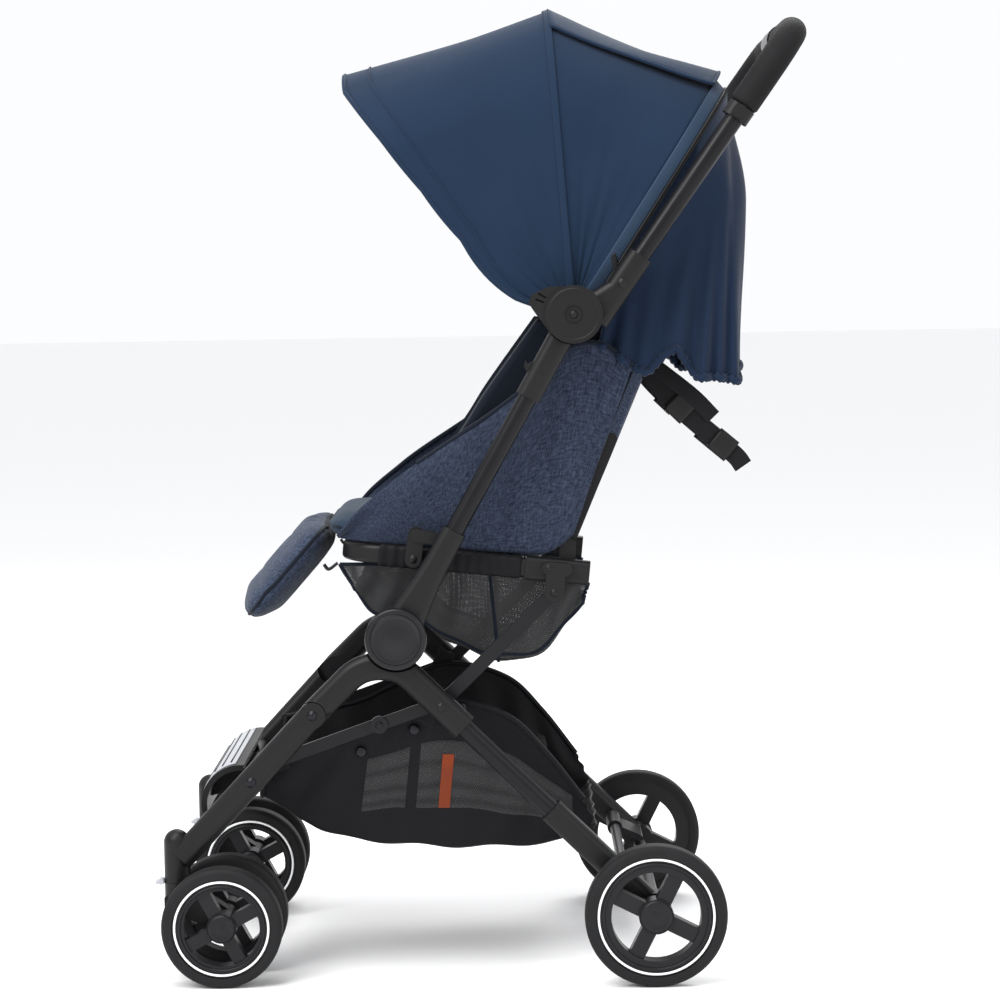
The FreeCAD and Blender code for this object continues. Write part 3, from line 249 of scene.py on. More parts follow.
def resample(points: Sequence[Sequence[float]], count: int, closed: bool = False) -> Array:
    """Even steps along a Catmull-Rom curve through the points.

    Args:
        points: the points the curve goes through, in two or three dimensions.
        count: how many points to return.
        closed: whether the last point joins the first.

    Returns:
        Array of count rows.
    """
    p = np.asarray(points, float)
    if closed:
        p = np.vstack([p[-1], p, p[0], p[1]])
    else:
        p = np.vstack([2 * p[0] - p[1], p, 2 * p[-1] - p[-2]])
    t = np.linspace(0, 1, 24, endpoint=False)[:, None, None]
    a, b, c, d = p[None, :-3], p[None, 1:-2], p[None, 2:-1], p[None, 3:]
    square, cube = 2 * a - 5 * b + 4 * c - d, 3 * b - a - 3 * c + d
    curve = 0.5 * (2 * b + (c - a) * t + square * t ** 2 + cube * t ** 3)
    curve = np.vstack([curve.transpose(1, 0, 2).reshape(-1, p.shape[1]), p[-2][None]])
    steps = np.r_[0, np.cumsum(np.linalg.norm(np.diff(curve, axis=0), axis=1))]
    wanted = np.linspace(0, steps[-1], count + 1 if closed else count)
    out = np.stack([np.interp(wanted, steps, curve[:, k]) for k in range(curve.shape[1])], 1)
    return out[:-1] if closed else out


# ---- meshes ----
class Wrap(Enum):
    """How a grid of points closes on itself."""

    OPEN = "open"
    AROUND = "around"
    BOTH = "both"


@dataclass
class Surface:
    """A surface on a grid: points has shape (rows, columns, 3); cells are (row, column) quads."""

    points: Array
    wrap: Wrap = Wrap.OPEN
    uv: Array | None = None
    caps: bool = False

    def faces(self) -> Array:
        """Quads of the grid; columns close on themselves if it wraps around, and rows too if both."""
        n, m = self.points.shape[:2]
        rows = np.arange(n if self.wrap is Wrap.BOTH else n - 1)
        cols = np.arange(m - 1 if self.wrap is Wrap.OPEN else m)
        r, c = (g.ravel() for g in np.meshgrid(rows, cols, indexing="ij"))
        r2, c2 = (r + 1) % n, (c + 1) % m
        return np.stack([r * m + c, r * m + c2, r2 * m + c2, r2 * m + c], 1)

    def lengths(self) -> tuple[float, float, float]:
        """Mean length down the rows, mean length along the columns, and area by the quads' diagonals."""
        p = self.points
        down = float(np.linalg.norm(np.diff(p, axis=0), axis=2).sum(0).mean())
        across = float(np.linalg.norm(np.diff(p, axis=1), axis=2).sum(1).mean())
        d1, d2 = p[1:, 1:] - p[:-1, :-1], p[1:, :-1] - p[:-1, 1:]
        return down, across, float(np.linalg.norm(np.cross(d1, d2), axis=2).sum() / 2)

    def grid_uv(self) -> Array:
        """Map in metres: mean distance along the columns and down the rows from the first corner."""
        p = self.points
        across = np.linalg.norm(np.diff(p, axis=1), axis=2).mean(0)
        down = np.linalg.norm(np.diff(p, axis=0), axis=2).mean(1)
        u, v = np.meshgrid(np.r_[0, np.cumsum(across)], np.r_[0, np.cumsum(down)])
        return np.stack([u, v], 2)


def add_piece(name: str, vertices: Array, faces: list | Array, uv: Array | None = None) -> bpy.types.Object:
    """Makes a smooth-shaded mesh object at the origin.

    Args:
        name: the piece's name.
        vertices: rows of x, y, z.
        faces: rows of vertex numbers.
        uv: a map point for each vertex.

    Returns:
        The object, linked to the scene.
    """
    mesh = bpy.data.meshes.new(name)
    mesh.from_pydata((vertices + ORIGIN).tolist(), [], faces if isinstance(faces, list) else faces.tolist())
    if uv is not None:
        loops = np.zeros(len(mesh.loops), np.int32)
        mesh.loops.foreach_get("vertex_index", loops)
        mesh.uv_layers.new(name="weave").data.foreach_set("uv", uv.reshape(-1, 2)[loops].ravel())
    mesh.polygons.foreach_set("use_smooth", np.ones(len(mesh.polygons), bool))
    mesh.validate()
    piece = bpy.data.objects.new(name, mesh)
    bpy.context.scene.collection.objects.link(piece)
    return piece


def add_surface(name: str, surface: Surface) -> bpy.types.Object:
    """Makes a piece of one surface, with flat caps on its first and last rows where it asks for them."""
    n, m = surface.points.shape[:2]
    faces = surface.faces().tolist()
    if surface.caps:
        faces.append(list(range(m))[::-1])
        faces.append([(n - 1) * m + k for k in range(m)])
    uv = surface.uv if surface.uv is not None else surface.grid_uv()
    return add_piece(name, surface.points.reshape(-1, 3), faces, uv)


def join_surfaces(name: str, surfaces: Iterable[Surface]) -> bpy.types.Object:
    """Makes one piece of several surfaces."""
    vertices, faces, maps, start = [], [], [], 0
    for s in surfaces:
        n, m = s.points.shape[:2]
        cells = s.faces() + start
        faces += cells.tolist()
        if s.caps:
            faces.append([start + k for k in range(m)][::-1])
            faces.append([start + (n - 1) * m + k for k in range(m)])
        vertices.append(s.points.reshape(-1, 3))
        maps.append((s.uv if s.uv is not None else s.grid_uv()).reshape(-1, 2))
        start += n * m
    return add_piece(name, np.vstack(vertices), faces, np.vstack(maps))


def frames(path: Array, up: Sequence[float], closed: bool = False) -> tuple[Array, Array]:
    """Directions along a path: side is the run crossed with up, and top is side crossed with the run."""
    if closed:
        run = np.roll(path, -1, 0) - np.roll(path, 1, 0)
    else:
        run = np.gradient(path, axis=0)
    run = unit(run)
    side = np.cross(run, np.broadcast_to(np.asarray(up, float), run.shape))
    side /= np.maximum(np.linalg.norm(side, axis=1, keepdims=True), 1e-9)
    return side, np.cross(side, run)


def profile_run(path: Array, profile: Array, up: Sequence[float], closed: bool = False) -> Surface:
    """A closed profile carried along a path: each point is the path plus side times x plus top times y."""
    side, top = frames(path, up, closed)
    pts = path[:, None] + side[:, None] * profile[None, :, :1] + top[:, None] * profile[None, :, 1:]
    m = len(profile)
    ring = np.linalg.norm(np.roll(profile, -1, 0) - profile, axis=1)
    u = np.r_[0, np.cumsum(ring)][:m]
    v = np.r_[0, np.cumsum(np.linalg.norm(np.diff(path, axis=0), axis=1))]
    uv = np.stack(np.meshgrid(u, v), 2)
    return Surface(pts, Wrap.BOTH if closed else Wrap.AROUND, uv, caps=not closed)


def ring_profile(radius: float, count: int = 10) -> Array:
    """Circle of points, turning so that the carried faces point outwards."""
    a = np.linspace(0, -2 * math.pi, count, endpoint=False)
    return np.stack([radius * np.cos(a), radius * np.sin(a)], 1)


def soft_box(width: float, thick: float, soft: tuple[float, float], count: int) -> Array:
    """Superellipse section: cosines and sines raised to the powers in soft, squarer as those fall."""
    a = np.linspace(0, -2 * math.pi, count, endpoint=False)
    c, s = np.cos(a), np.sin(a)
    across = width / 2 * np.sign(c) * np.abs(c) ** soft[0]
    return np.stack([across, thick / 2 * np.sign(s) * np.abs(s) ** soft[1]], 1)


def strap_profile(width: float, thick: float) -> Array:
    """Flat strap section with rounded edges."""
    return soft_box(width, thick, (0.33, 0.77), 20)


def turned(axis_point: Sequence[float], sign: float, profile: Sequence[Side], count: int = 64) -> Surface:
    """A profile of (out along X, radius) pairs turned about an axis along X."""
    p = np.asarray(profile, float)
    a = np.linspace(0, 2 * math.pi, count, endpoint=False) * sign
    c = np.asarray(axis_point, float)
    x = np.broadcast_to(c[0] + sign * p[:, :1], (len(p), count))
    pts = np.stack([x, c[1] + p[:, 1:] * np.cos(a), c[2] + p[:, 1:] * np.sin(a)], 2)
    return Surface(pts, Wrap.AROUND, np.stack([np.broadcast_to(a * 0.03, x.shape), x * 0 + p[:, :1]], 2))


def mirror_surface(s: Surface) -> Surface:
    """The same surface on the other side, with its columns turned round so that it still faces outwards."""
    pts = s.points[:, ::-1] * np.array([-1.0, 1.0, 1.0])
    return Surface(pts, s.wrap, None if s.uv is None else s.uv[:, ::-1], s.caps)


# ---- shader maths ----
class Value:
    """A socket that adds, subtracts, multiplies and compares by adding Math nodes."""

    def __init__(self, tree: bpy.types.NodeTree, socket: bpy.types.NodeSocket) -> None:
        """Wraps a socket of a tree."""
        self.tree, self.socket = tree, socket

    def _math(self, operation: str, *values: "Value | float") -> "Value":
        """Adds one Math node over the values."""
        node = self.tree.nodes.new("ShaderNodeMath")
        node.operation = operation
        for target, value in zip(node.inputs, values):
            if isinstance(value, Value):
                self.tree.links.new(value.socket, target)
            else:
                target.default_value = value
        return Value(self.tree, node.outputs[0])

    def __add__(self, other: "Value | float") -> "Value":
        """Sum."""
        return self._math("ADD", self, other)

    __radd__ = __add__

    def __mul__(self, other: "Value | float") -> "Value":
        """Product."""
        return self._math("MULTIPLY", self, other)

    __rmul__ = __mul__

    def __sub__(self, other: "Value | float") -> "Value":
        """Difference."""
        return self._math("SUBTRACT", self, other)

    def __rsub__(self, other: float) -> "Value":
        """Difference from a number."""
        return self._math("SUBTRACT", other, self)

    def __gt__(self, other: "Value | float") -> "Value":
        """One where greater, else nothing."""
        return self._math("GREATER_THAN", self, other)

    def __abs__(self) -> "Value":
        """Size without sign."""
        return self._math("ABSOLUTE", self)

    def wave(self, per_metre: float) -> "Value":
        """Sine of so many turns a metre."""
        return self._math("SINE", self * (per_metre * 2 * math.pi))

    def clipped(self) -> "Value":
        """Held to 0..1."""
        node = self._math("ADD", self, 0.0)
        node.socket.node.use_clamp = True
        return node


Colour = tuple[float, float, float]


class Shader:
    """One node material with a Principled shader."""

    def __init__(self, name: str) -> None:
        """Makes the material with its shader and output."""
        self.material = bpy.data.materials.new("look_" + name)
        self.material.use_nodes = True
        self.tree = self.material.node_tree
        self.tree.nodes.clear()
        self.out = self.tree.nodes.new("ShaderNodeOutputMaterial")
        self.main = self.tree.nodes.new("ShaderNodeBsdfPrincipled")
        self.tree.links.new(self.main.outputs[0], self.out.inputs["Surface"])

    def node(self, kind: str, settings: dict | None = None, **inputs: object) -> bpy.types.Node:
        """Adds a node.

        Args:
            kind: the node's type without its ShaderNode prefix.
            settings: attributes set first.
            inputs: values or links by socket name, with underscores for spaces.

        Returns:
            The node.
        """
        made = self.tree.nodes.new("ShaderNode" + kind)
        for key, value in (settings or {}).items():
            setattr(made, key, value)
        for key, value in inputs.items():
            target = made.inputs[key.replace("_", " ")]
            self.feed(target, value)
        return made

    def feed(self, target: bpy.types.NodeSocket, value: object) -> None:
        """Links a socket or wrapped value, or sets a plain one."""
        if isinstance(value, Value):
            self.tree.links.new(value.socket, target)
        elif isinstance(value, bpy.types.NodeSocket):
            self.tree.links.new(value, target)
        else:
            target.default_value = value

    def value(self, socket: bpy.types.NodeSocket) -> Value:
        """Wraps a socket."""
        return Value(self.tree, socket)

    def axes(self, mapped: bool = False) -> tuple[bpy.types.NodeSocket, Value, Value, Value]:
        """Object coordinates, or the piece's own map, whole and by axis."""
        place = self.node("TexCoord").outputs["UV" if mapped else "Object"]
        parts = self.node("SeparateXYZ", Vector=place)
        return (place, *(self.value(o) for o in parts.outputs))

    def noise(self, place: object, scale: float, detail: float = 3.0, rough: float = 0.55) -> Value:
        """Noise of a scale, in features a metre."""
        made = self.node("TexNoise", Vector=place, Scale=scale, Detail=detail, Roughness=rough)
        return self.value(made.outputs["Fac" if "Fac" in made.outputs else "Factor"])

    def mix(self, mask: Value, low: Colour, high: Colour) -> bpy.types.NodeSocket:
        """Colour between two by a mask."""
        made = self.tree.nodes.new("ShaderNodeMix")
        made.data_type = "RGBA"
        self.feed(made.inputs[0], mask)
        for target, colour in ((made.inputs[6], low), (made.inputs[7], high)):
            target.default_value = (*colour, 1.0)
        return made.outputs[2]

    def bump(self, height: Value, strength: float, distance: float) -> None:
        """Feeds Normal from a height."""
        made = self.node("Bump", Height=height, Strength=strength, Distance=distance)
        self.tree.links.new(made.outputs[0], self.main.inputs["Normal"])

    def set(self, **inputs: object) -> None:
        """Sets or links the shader's inputs."""
        for key, value in inputs.items():
            self.feed(self.main.inputs[key.replace("_", " ")], value)


# ---- finishes ----
def lighter(colour: Colour, by: float, more: float = 0.0) -> Colour:
    """The same colour times one number plus another, up to white."""
    return tuple(min(1.0, c * by + more) for c in colour)


@dataclass(frozen=True)
class MouldedPlastic:
    """Moulded plastic with a fine spark-eroded grain."""

    name: str
    colour: Colour
    rough: float = 0.42
    grain: float = 1500.0
    depth: float = 0.12
    coat: float = 0.0

    def build(self) -> bpy.types.Material:
        """Grain is noise in the height; slow noise shifts the gloss and the colour a little."""
        s = Shader(self.name)
        place = s.axes()[0]
        fine, slow = s.noise(place, self.grain, 2.0), s.noise(place, 14.0, 4.0)
        s.set(Base_Color=s.mix(slow * 0.8, self.colour, lighter(self.colour, 1.4, 0.002)),
              Roughness=slow * 0.12 + (self.rough - 0.06))
        s.main.inputs["Coat Weight"].default_value = self.coat
        s.main.inputs["Coat Roughness"].default_value = 0.2
        s.main.inputs["Specular IOR Level"].default_value = 0.22
        s.bump(fine, self.depth, 0.0002)
        return s.material


@dataclass(frozen=True)
class Lacquer:
    """Powder-coated tube: an even gloss coat with a trace of orange peel."""

    name: str
    colour: Colour
    rough: float = 0.33

    def build(self) -> bpy.types.Material:
        """Orange peel is soft noise in the height; dust noise dulls the gloss."""
        s = Shader(self.name)
        place = s.axes()[0]
        peel, dust = s.noise(place, 420.0, 1.0), s.noise(place, 22.0, 5.0)
        s.set(Base_Color=s.mix(dust * 0.6, self.colour, lighter(self.colour, 1.5, 0.001)),
              Roughness=dust * 0.14 + (self.rough - 0.05))
        s.main.inputs["Coat Weight"].default_value = 0.05
        s.main.inputs["Coat Roughness"].default_value = 0.12
        s.main.inputs["Specular IOR Level"].default_value = 0.18
        s.bump(peel, 0.06, 0.0003)
        return s.material


@dataclass(frozen=True)
class Steel:
    """Brushed steel of rivets and plates."""

    name: str
    colour: Colour
    rough: float = 0.34

    def build(self) -> bpy.types.Material:
        """Brushing is noise stretched along X in the roughness and the height."""
        s = Shader(self.name)
        place = s.axes()[0]
        stretched = s.node("Mapping", Vector=place, Scale=(40.0, 900.0, 900.0)).outputs[0]
        brush = s.noise(stretched, 1.0, 3.0)
        s.set(Base_Color=s.mix(brush, self.colour, lighter(self.colour, 1.3)),
              Roughness=brush * 0.2 + (self.rough - 0.1), Metallic=1.0)
        s.bump(brush, 0.08, 0.0001)
        return s.material


@dataclass(frozen=True)
class TyreRubber:
    """Solid foam tyre: matt, with fine lines round the tread."""

    name: str
    colour: Colour

    def build(self) -> bpy.types.Material:
        """Tread lines are a sine across the width; the skin has fine noise."""
        s = Shader(self.name)
        place, x, _, _ = s.axes()
        lines, skin = x.wave(260.0), s.noise(place, 900.0, 3.0)
        s.set(Base_Color=s.mix(s.noise(place, 30.0, 4.0), self.colour, lighter(self.colour, 2.2)),
              Roughness=skin * 0.2 + 0.58)
        s.main.inputs["Specular IOR Level"].default_value = 0.2
        s.bump(lines * 0.3 + skin * 0.7, 0.2, 0.0003)
        return s.material


@dataclass(frozen=True)
class Foam:
    """Closed-cell grip foam with a stippled skin."""

    name: str
    colour: Colour

    def build(self) -> bpy.types.Material:
        """Stipple is cell noise in the height."""
        s = Shader(self.name)
        place = s.axes()[0]
        cells = s.value(s.node("TexVoronoi", Vector=place, Scale=900.0).outputs["Distance"])
        slow = s.noise(place, 30.0, 4.0)
        s.set(Base_Color=s.mix(slow, self.colour, lighter(self.colour, 1.8)), Roughness=slow * 0.1 + 0.72)
        s.main.inputs["Specular IOR Level"].default_value = 0.15
        s.bump(cells, 0.35, 0.0005)
        return s.material


class Weave(Enum):
    """How a cloth's threads cross."""

    PLAIN = "plain"
    RIBBED = "ribbed"
    HEATHER = "heather"


@dataclass(frozen=True)
class Cloth:
    """Woven cloth on the piece's own map, in metres, or on Object coordinates where it has none."""

    name: str
    colour: Colour
    light: Colour
    weave: Weave = Weave.PLAIN
    threads: float = 1100.0
    rough: float = 0.8
    sheen: float = 0.08
    mapped: bool = True
    depth: float = 0.3
    puckers: float = 0.0

    def build(self) -> bpy.types.Material:
        """Threads are crossed sines; heather mixes two yarns by noise stretched along each thread."""
        s = Shader(self.name)
        place, u, v, w = s.axes(self.mapped)
        if not self.mapped:
            u, v = u + w * 0.5, v + w * 0.86
        warp, weft = u.wave(self.threads), v.wave(self.threads)
        cross = warp * weft * 0.5 + 0.5
        if self.weave is Weave.RIBBED:
            cross = v.wave(self.threads * 0.4) * 0.5 + 0.5
        slow = s.noise(place, 9.0, 5.0)
        tone = slow * 0.45 + cross * 0.3
        if self.weave is Weave.HEATHER:
            long_way = s.node("Mapping", Vector=place, Scale=(130.0, 620.0, 620.0)).outputs[0]
            cross_way = s.node("Mapping", Vector=place, Scale=(620.0, 130.0, 620.0)).outputs[0]
            yarn = s.noise(long_way, 1.0, 2.0, 0.7) * 0.5 + s.noise(cross_way, 1.0, 2.0, 0.7) * 0.5
            tone = ((yarn - 0.5) * 3.8 + 0.44).clipped() * 0.82 + cross * 0.12
        s.set(Base_Color=s.mix(tone.clipped(), self.colour, self.light), Roughness=cross * 0.08 + self.rough)
        s.main.inputs["Sheen Weight"].default_value = self.sheen
        s.main.inputs["Sheen Roughness"].default_value = 0.45
        s.main.inputs["Specular IOR Level"].default_value = 0.12
        height = cross * 0.25
        if self.puckers:
            height = height + s.noise(place, 26.0, 4.0) * self.puckers
        s.bump(height, self.depth, 0.0016 if self.puckers else 0.0004)
        return s.material


@dataclass(frozen=True)
class NetCloth:
    """Open knitted net: round holes in rows between threads."""

    name: str
    colour: Colour
    pitch: float = 300.0
    hole: float = 0.72

    def build(self) -> bpy.types.Material:
        """A hole is open where the product of two crossed sines is past a level."""
        s = Shader(self.name)
        place, u, v, _ = s.axes(True)
        a, b = (u + v * 0.5).wave(self.pitch), (v - u * 0.5).wave(self.pitch)
        holes = abs(a * b) > self.hole
        s.set(Base_Color=s.mix(s.noise(place, 200.0), self.colour, lighter(self.colour, 2.0)),
              Roughness=0.6, Alpha=1.0 - holes * 0.9)
        s.bump(abs(a * b), 0.3, 0.0006)
        return s.material


@dataclass(frozen=True)
class Reflective:
    """Reflective piping on the wheels: white with a fine bead grain."""

    name: str
    colour: Colour

    def build(self) -> bpy.types.Material:
        """Beads are cell noise in the height and the roughness."""
        s = Shader(self.name)
        place = s.axes()[0]
        beads = s.value(s.node("TexVoronoi", Vector=place, Scale=2500.0).outputs["Distance"])
        s.set(Base_Color=s.mix(s.noise(place, 60.0), self.colour, (0.95, 0.95, 0.95)),
              Roughness=beads * 0.2 + 0.35)
        s.bump(beads, 0.1, 0.0001)
        return s.material


class Finish(Enum):
    """Every finish, by the slot that it dresses."""

    BLACK_PLASTIC = MouldedPlastic("black_plastic", (0.0045, 0.0045, 0.005))
    CAP_PLASTIC = MouldedPlastic("cap_plastic", (0.004, 0.004, 0.005), 0.3, 1200.0, 0.04, 0.15)
    SILVER_PLASTIC = MouldedPlastic("silver_plastic", (0.36, 0.37, 0.39), 0.36)
    BUTTON_PLASTIC = MouldedPlastic("buckle_button_plastic", (0.2, 0.21, 0.23), 0.4)
    WHEEL_PLASTIC = MouldedPlastic("wheel_plastic", (0.006, 0.006, 0.007), 0.36)
    BLACK_PAINT = Lacquer("black_paint", (0.003, 0.003, 0.004))
    DARK_STEEL = Lacquer("dark_steel", (0.006, 0.006, 0.007), 0.34)
    RIVET_STEEL = Steel("rivet_steel", (0.022, 0.022, 0.025))
    TYRE = TyreRubber("tyre", (0.006, 0.006, 0.0065))
    GRIP_FOAM = Foam("grip_foam", (0.006, 0.006, 0.0065))
    CANOPY = Cloth("canopy_fabric", (0.005, 0.013, 0.030), (0.013, 0.030, 0.064), puckers=0.35)
    CURTAIN = Cloth("curtain_fabric", (0.004, 0.010, 0.026), (0.011, 0.024, 0.055), rough=0.7, puckers=0.6)
    TRIM = Cloth("trim_fabric", (0.016, 0.030, 0.055), (0.045, 0.075, 0.125), Weave.RIBBED, 900.0)
    SEAT = Cloth("seat_fabric", (0.005, 0.008, 0.017), (0.044, 0.057, 0.094), Weave.HEATHER, puckers=0.3)
    MELANGE = Cloth("melange_fabric", (0.006, 0.009, 0.018), (0.060, 0.080, 0.130), Weave.HEATHER,
                    mapped=False)
    LINING = Cloth("lining_fabric", (0.004, 0.006, 0.011), (0.010, 0.014, 0.024), puckers=0.4)
    WEBBING = Cloth("webbing", (0.004, 0.004, 0.0045), (0.013, 0.013, 0.015), Weave.RIBBED,
                    1200.0, 0.62, 0.05)
    BASKET = Cloth("basket_fabric", (0.002, 0.002, 0.0025), (0.008, 0.008, 0.010), rough=0.42,
                   sheen=0.02, puckers=1.1)
    NET = NetCloth("under_mesh", (0.006, 0.006, 0.007))
    BASKET_NET = NetCloth("basket_mesh", (0.008, 0.008, 0.009), 240.0, 0.66)
    PIPING = Reflective("wheel_piping", (0.78, 0.79, 0.8))
    INSERT = Cloth("insert_fabric", (0.010, 0.020, 0.036), (0.026, 0.044, 0.070), puckers=0.3)
    TAG = Cloth("tag_fabric", (0.16, 0.03, 0.012), (0.3, 0.06, 0.02))

    def material(self) -> bpy.types.Material:
        """The finish's material, made the first time that it is asked for."""
        found = bpy.data.materials.get("look_" + self.value.name)
        return found if found else self.value.build()


def dress(piece: bpy.types.Object, finish: Finish, slot: str) -> bpy.types.Object:
    """Gives a piece its finish and names its slot."""
    piece.data.materials.clear()
    piece.data.materials.append(finish.material())
    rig.slot(piece, slot)
    return piece


def thicken(piece: bpy.types.Object, thick: float, offset: float = 0.0) -> bpy.types.Object:
    """Gives an open sheet its wall."""
    wall = piece.modifiers.new("wall", "SOLIDIFY")
    wall.thickness, wall.offset = thick, offset
    return piece


def tell(piece: bpy.types.Object, body: str) -> bpy.types.Object:
    """Rides a piece on a body and reports it."""
    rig.ride(piece, body)
    LOG.info("%s rides on %s: %d faces", piece.name, body, len(piece.data.polygons))
    return piece


def cloth_facts(surface: Surface) -> dict:
    """Flat width, length and area of a sheet's grid, for its declaration."""
    down, across, area = surface.lengths()
    return {"flat": (across, down), "area": min(area, across * down)}


# ---- padded pieces ----
PAD_RINGS, PAD_POINTS = 18, 120


@dataclass
class Pad:
    """A stuffed panel: a crowned closed form in its own axes, swollen as cloth, then channelled and piped.

    Attributes:
        origin: middle of the pad in the row frame.
        angle: direction of its length in the side plane, in degrees.
        half: half width across X, half length, half thickness.
        power: how square the outline is.
        channels: sewn lines across it, as shares of the half length.
        verticals: sewn lines along it, as shares of the half width.
        depth: how deep the sewn lines pull in.
        voxel: the size of the mesh's cells.
        pressure: what blows it up.
        cap: how far a point may move as it is blown up.
    """

    name: str
    origin: Side
    angle: float
    half: tuple[float, float, float]
    power: float = 5.0
    channels: tuple[float, ...] = ()
    verticals: tuple[float, ...] = ()
    depth: float = 0.004
    voxel: float = 0.006
    pressure: float = 3.0
    cap: float = 0.006

    def axes(self) -> tuple[Array, Array, Array]:
        """Directions across, along and out of the pad's face."""
        a = math.radians(self.angle)
        c, s = math.cos(a), math.sin(a)
        return np.array([1.0, 0, 0]), np.array([0, c, s]), np.array([0, -s, c])

    def to_row(self, local: Array) -> Array:
        """Row-frame points of local ones."""
        x, y, z = self.axes()
        return np.array([0, *self.origin]) + local[:, :1] * x + local[:, 1:2] * y + local[:, 2:] * z

    def crowned(self, shrink: float) -> tuple[Array, Array]:
        """Crowned form: a superellipse outline, and rings that close in as a root of the cosine."""
        t = np.linspace(-math.pi / 2, math.pi / 2, PAD_RINGS + 2)[1:-1]
        a = np.linspace(0, 2 * math.pi, PAD_POINTS, endpoint=False)
        reach = (np.abs(np.cos(a)) ** self.power + np.abs(np.sin(a)) ** self.power) ** (-1 / self.power)
        r = np.cos(t) ** 0.42
        w, l, h = (k - shrink for k in self.half)
        x = w * r[:, None] * reach * np.cos(a)
        y = l * r[:, None] * reach * np.sin(a)
        z = np.broadcast_to((h * np.sign(np.sin(t)) * np.abs(np.sin(t)) ** 0.8)[:, None], x.shape)
        body = np.stack([x, y, z], 2).reshape(-1, 3)
        points = np.vstack([body, [[0, 0, -h], [0, 0, h]]])
        return points, Surface(np.zeros((PAD_RINGS, PAD_POINTS, 3)), Wrap.AROUND).faces()

    def build(self) -> bpy.types.Object:
        """Makes the pad's closed form, remeshes it evenly, blows it up and sews its lines."""
        points, faces = self.crowned(0.0 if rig.quick() else self.cap * 0.7)
        n, cells, last = PAD_POINTS, faces.tolist(), (PAD_RINGS - 1) * PAD_POINTS
        cells += [[(k + 1) % n, k, len(points) - 2] for k in range(n)]
        cells += [[last + k, last + (k + 1) % n, len(points) - 1] for k in range(n)]
        pad = add_piece(self.name, points, cells)
        voxels = pad.modifiers.new("voxels", "REMESH")
        voxels.mode, voxels.voxel_size = "VOXEL", self.voxel
        apply_all(pad)
        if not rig.quick():
            swell(pad, self.pressure, self.cap)
        co = self.sewn(read_points(pad) - ORIGIN)
        write_points(pad, self.to_row(co) + ORIGIN)
        sub = pad.modifiers.new("even", "SUBSURF")
        sub.levels = sub.render_levels = 1
        apply_all(pad)
        pad.data.polygons.foreach_set("use_smooth", np.ones(len(pad.data.polygons), bool))
        return pad

    def sewn(self, co: Array) -> Array:
        """Pulls the face in along each sewn line: the depth times a bell of the distance to the line."""
        w, l, h = self.half
        inside = smooth((1 - np.abs(co[:, 0]) / w) * 6) * smooth((1 - np.abs(co[:, 1]) / l) * 6)
        pull = np.zeros(len(co))
        for axis, shares in ((1, self.channels), (0, self.verticals)):
            for share in shares:
                bell = np.exp(-((co[:, axis] - share * self.half[axis]) / 0.006) ** 2)
                pull = np.maximum(pull, bell)
        out = co.copy()
        out[:, 2] -= self.depth * pull * inside * np.clip(co[:, 2] / h, 0, 1)
        return out

    def piping(self, pad: bpy.types.Object, radius: float) -> Surface:
        """Welt round the pad's widest line: the farthest point in each direction from the middle."""
        co = read_points(pad) - ORIGIN
        x, y, z = self.axes()
        rel = co - np.array([0, *self.origin])
        local = np.stack([rel @ x, rel @ y, rel @ z], 1)
        w, l, _ = self.half
        a = np.arctan2(local[:, 1] / l, local[:, 0] / w)
        r = np.hypot(local[:, 0] / w, local[:, 1] / l)
        bins = ((a + math.pi) / (2 * math.pi) * 96).astype(int) % 96
        order = np.lexsort((r, bins))
        last = np.r_[np.nonzero(np.diff(bins[order]))[0], len(order) - 1]
        path = co[order[last]]
        for _ in range(3):
            path = (np.roll(path, 1, 0) + 2 * path + np.roll(path, -1, 0)) / 4
        return profile_run(resample(path, 240, True), ring_profile(radius, 8), z, closed=True)


def read_points(piece: bpy.types.Object) -> Array:
    """A mesh's points as rows."""
    co = np.zeros(len(piece.data.vertices) * 3)
    piece.data.vertices.foreach_get("co", co)
    return co.reshape(-1, 3)


def write_points(piece: bpy.types.Object, co: Array) -> None:
    """Sets a mesh's points."""
    piece.data.vertices.foreach_set("co", np.ascontiguousarray(co, dtype=np.float32).ravel())
    piece.data.update()


def apply_all(piece: bpy.types.Object) -> None:
    """Turns a piece and its modifiers into a plain mesh."""
    view = bpy.context.evaluated_depsgraph_get()
    made = bpy.data.meshes.new_from_object(piece.evaluated_get(view))
    piece.modifiers.clear()
    piece.data = made


def swell(piece: bpy.types.Object, pressure: float, cap: float, steps: int = 14) -> None:
    """Blows a closed mesh up as cloth and keeps each point within cap of where it began."""
    scene = bpy.context.scene
    start = read_points(piece)
    sim = piece.modifiers.new("swell", "CLOTH")
    sim.settings.use_pressure = True
    sim.settings.uniform_pressure_force = pressure
    sim.settings.effector_weights.gravity = 0.0
    sim.settings.quality = 4
    sim.collision_settings.use_self_collision = False
    sim.point_cache.frame_start, sim.point_cache.frame_end = 1, steps
    for frame in range(1, steps + 1):
        scene.frame_set(frame)
    apply_all(piece)
    moved = read_points(piece)
    move = moved - start
    far = np.linalg.norm(move, axis=1, keepdims=True)
    write_points(piece, start + move * np.minimum(1, cap / np.maximum(far, 1e-9)))
    scene.frame_set(1)


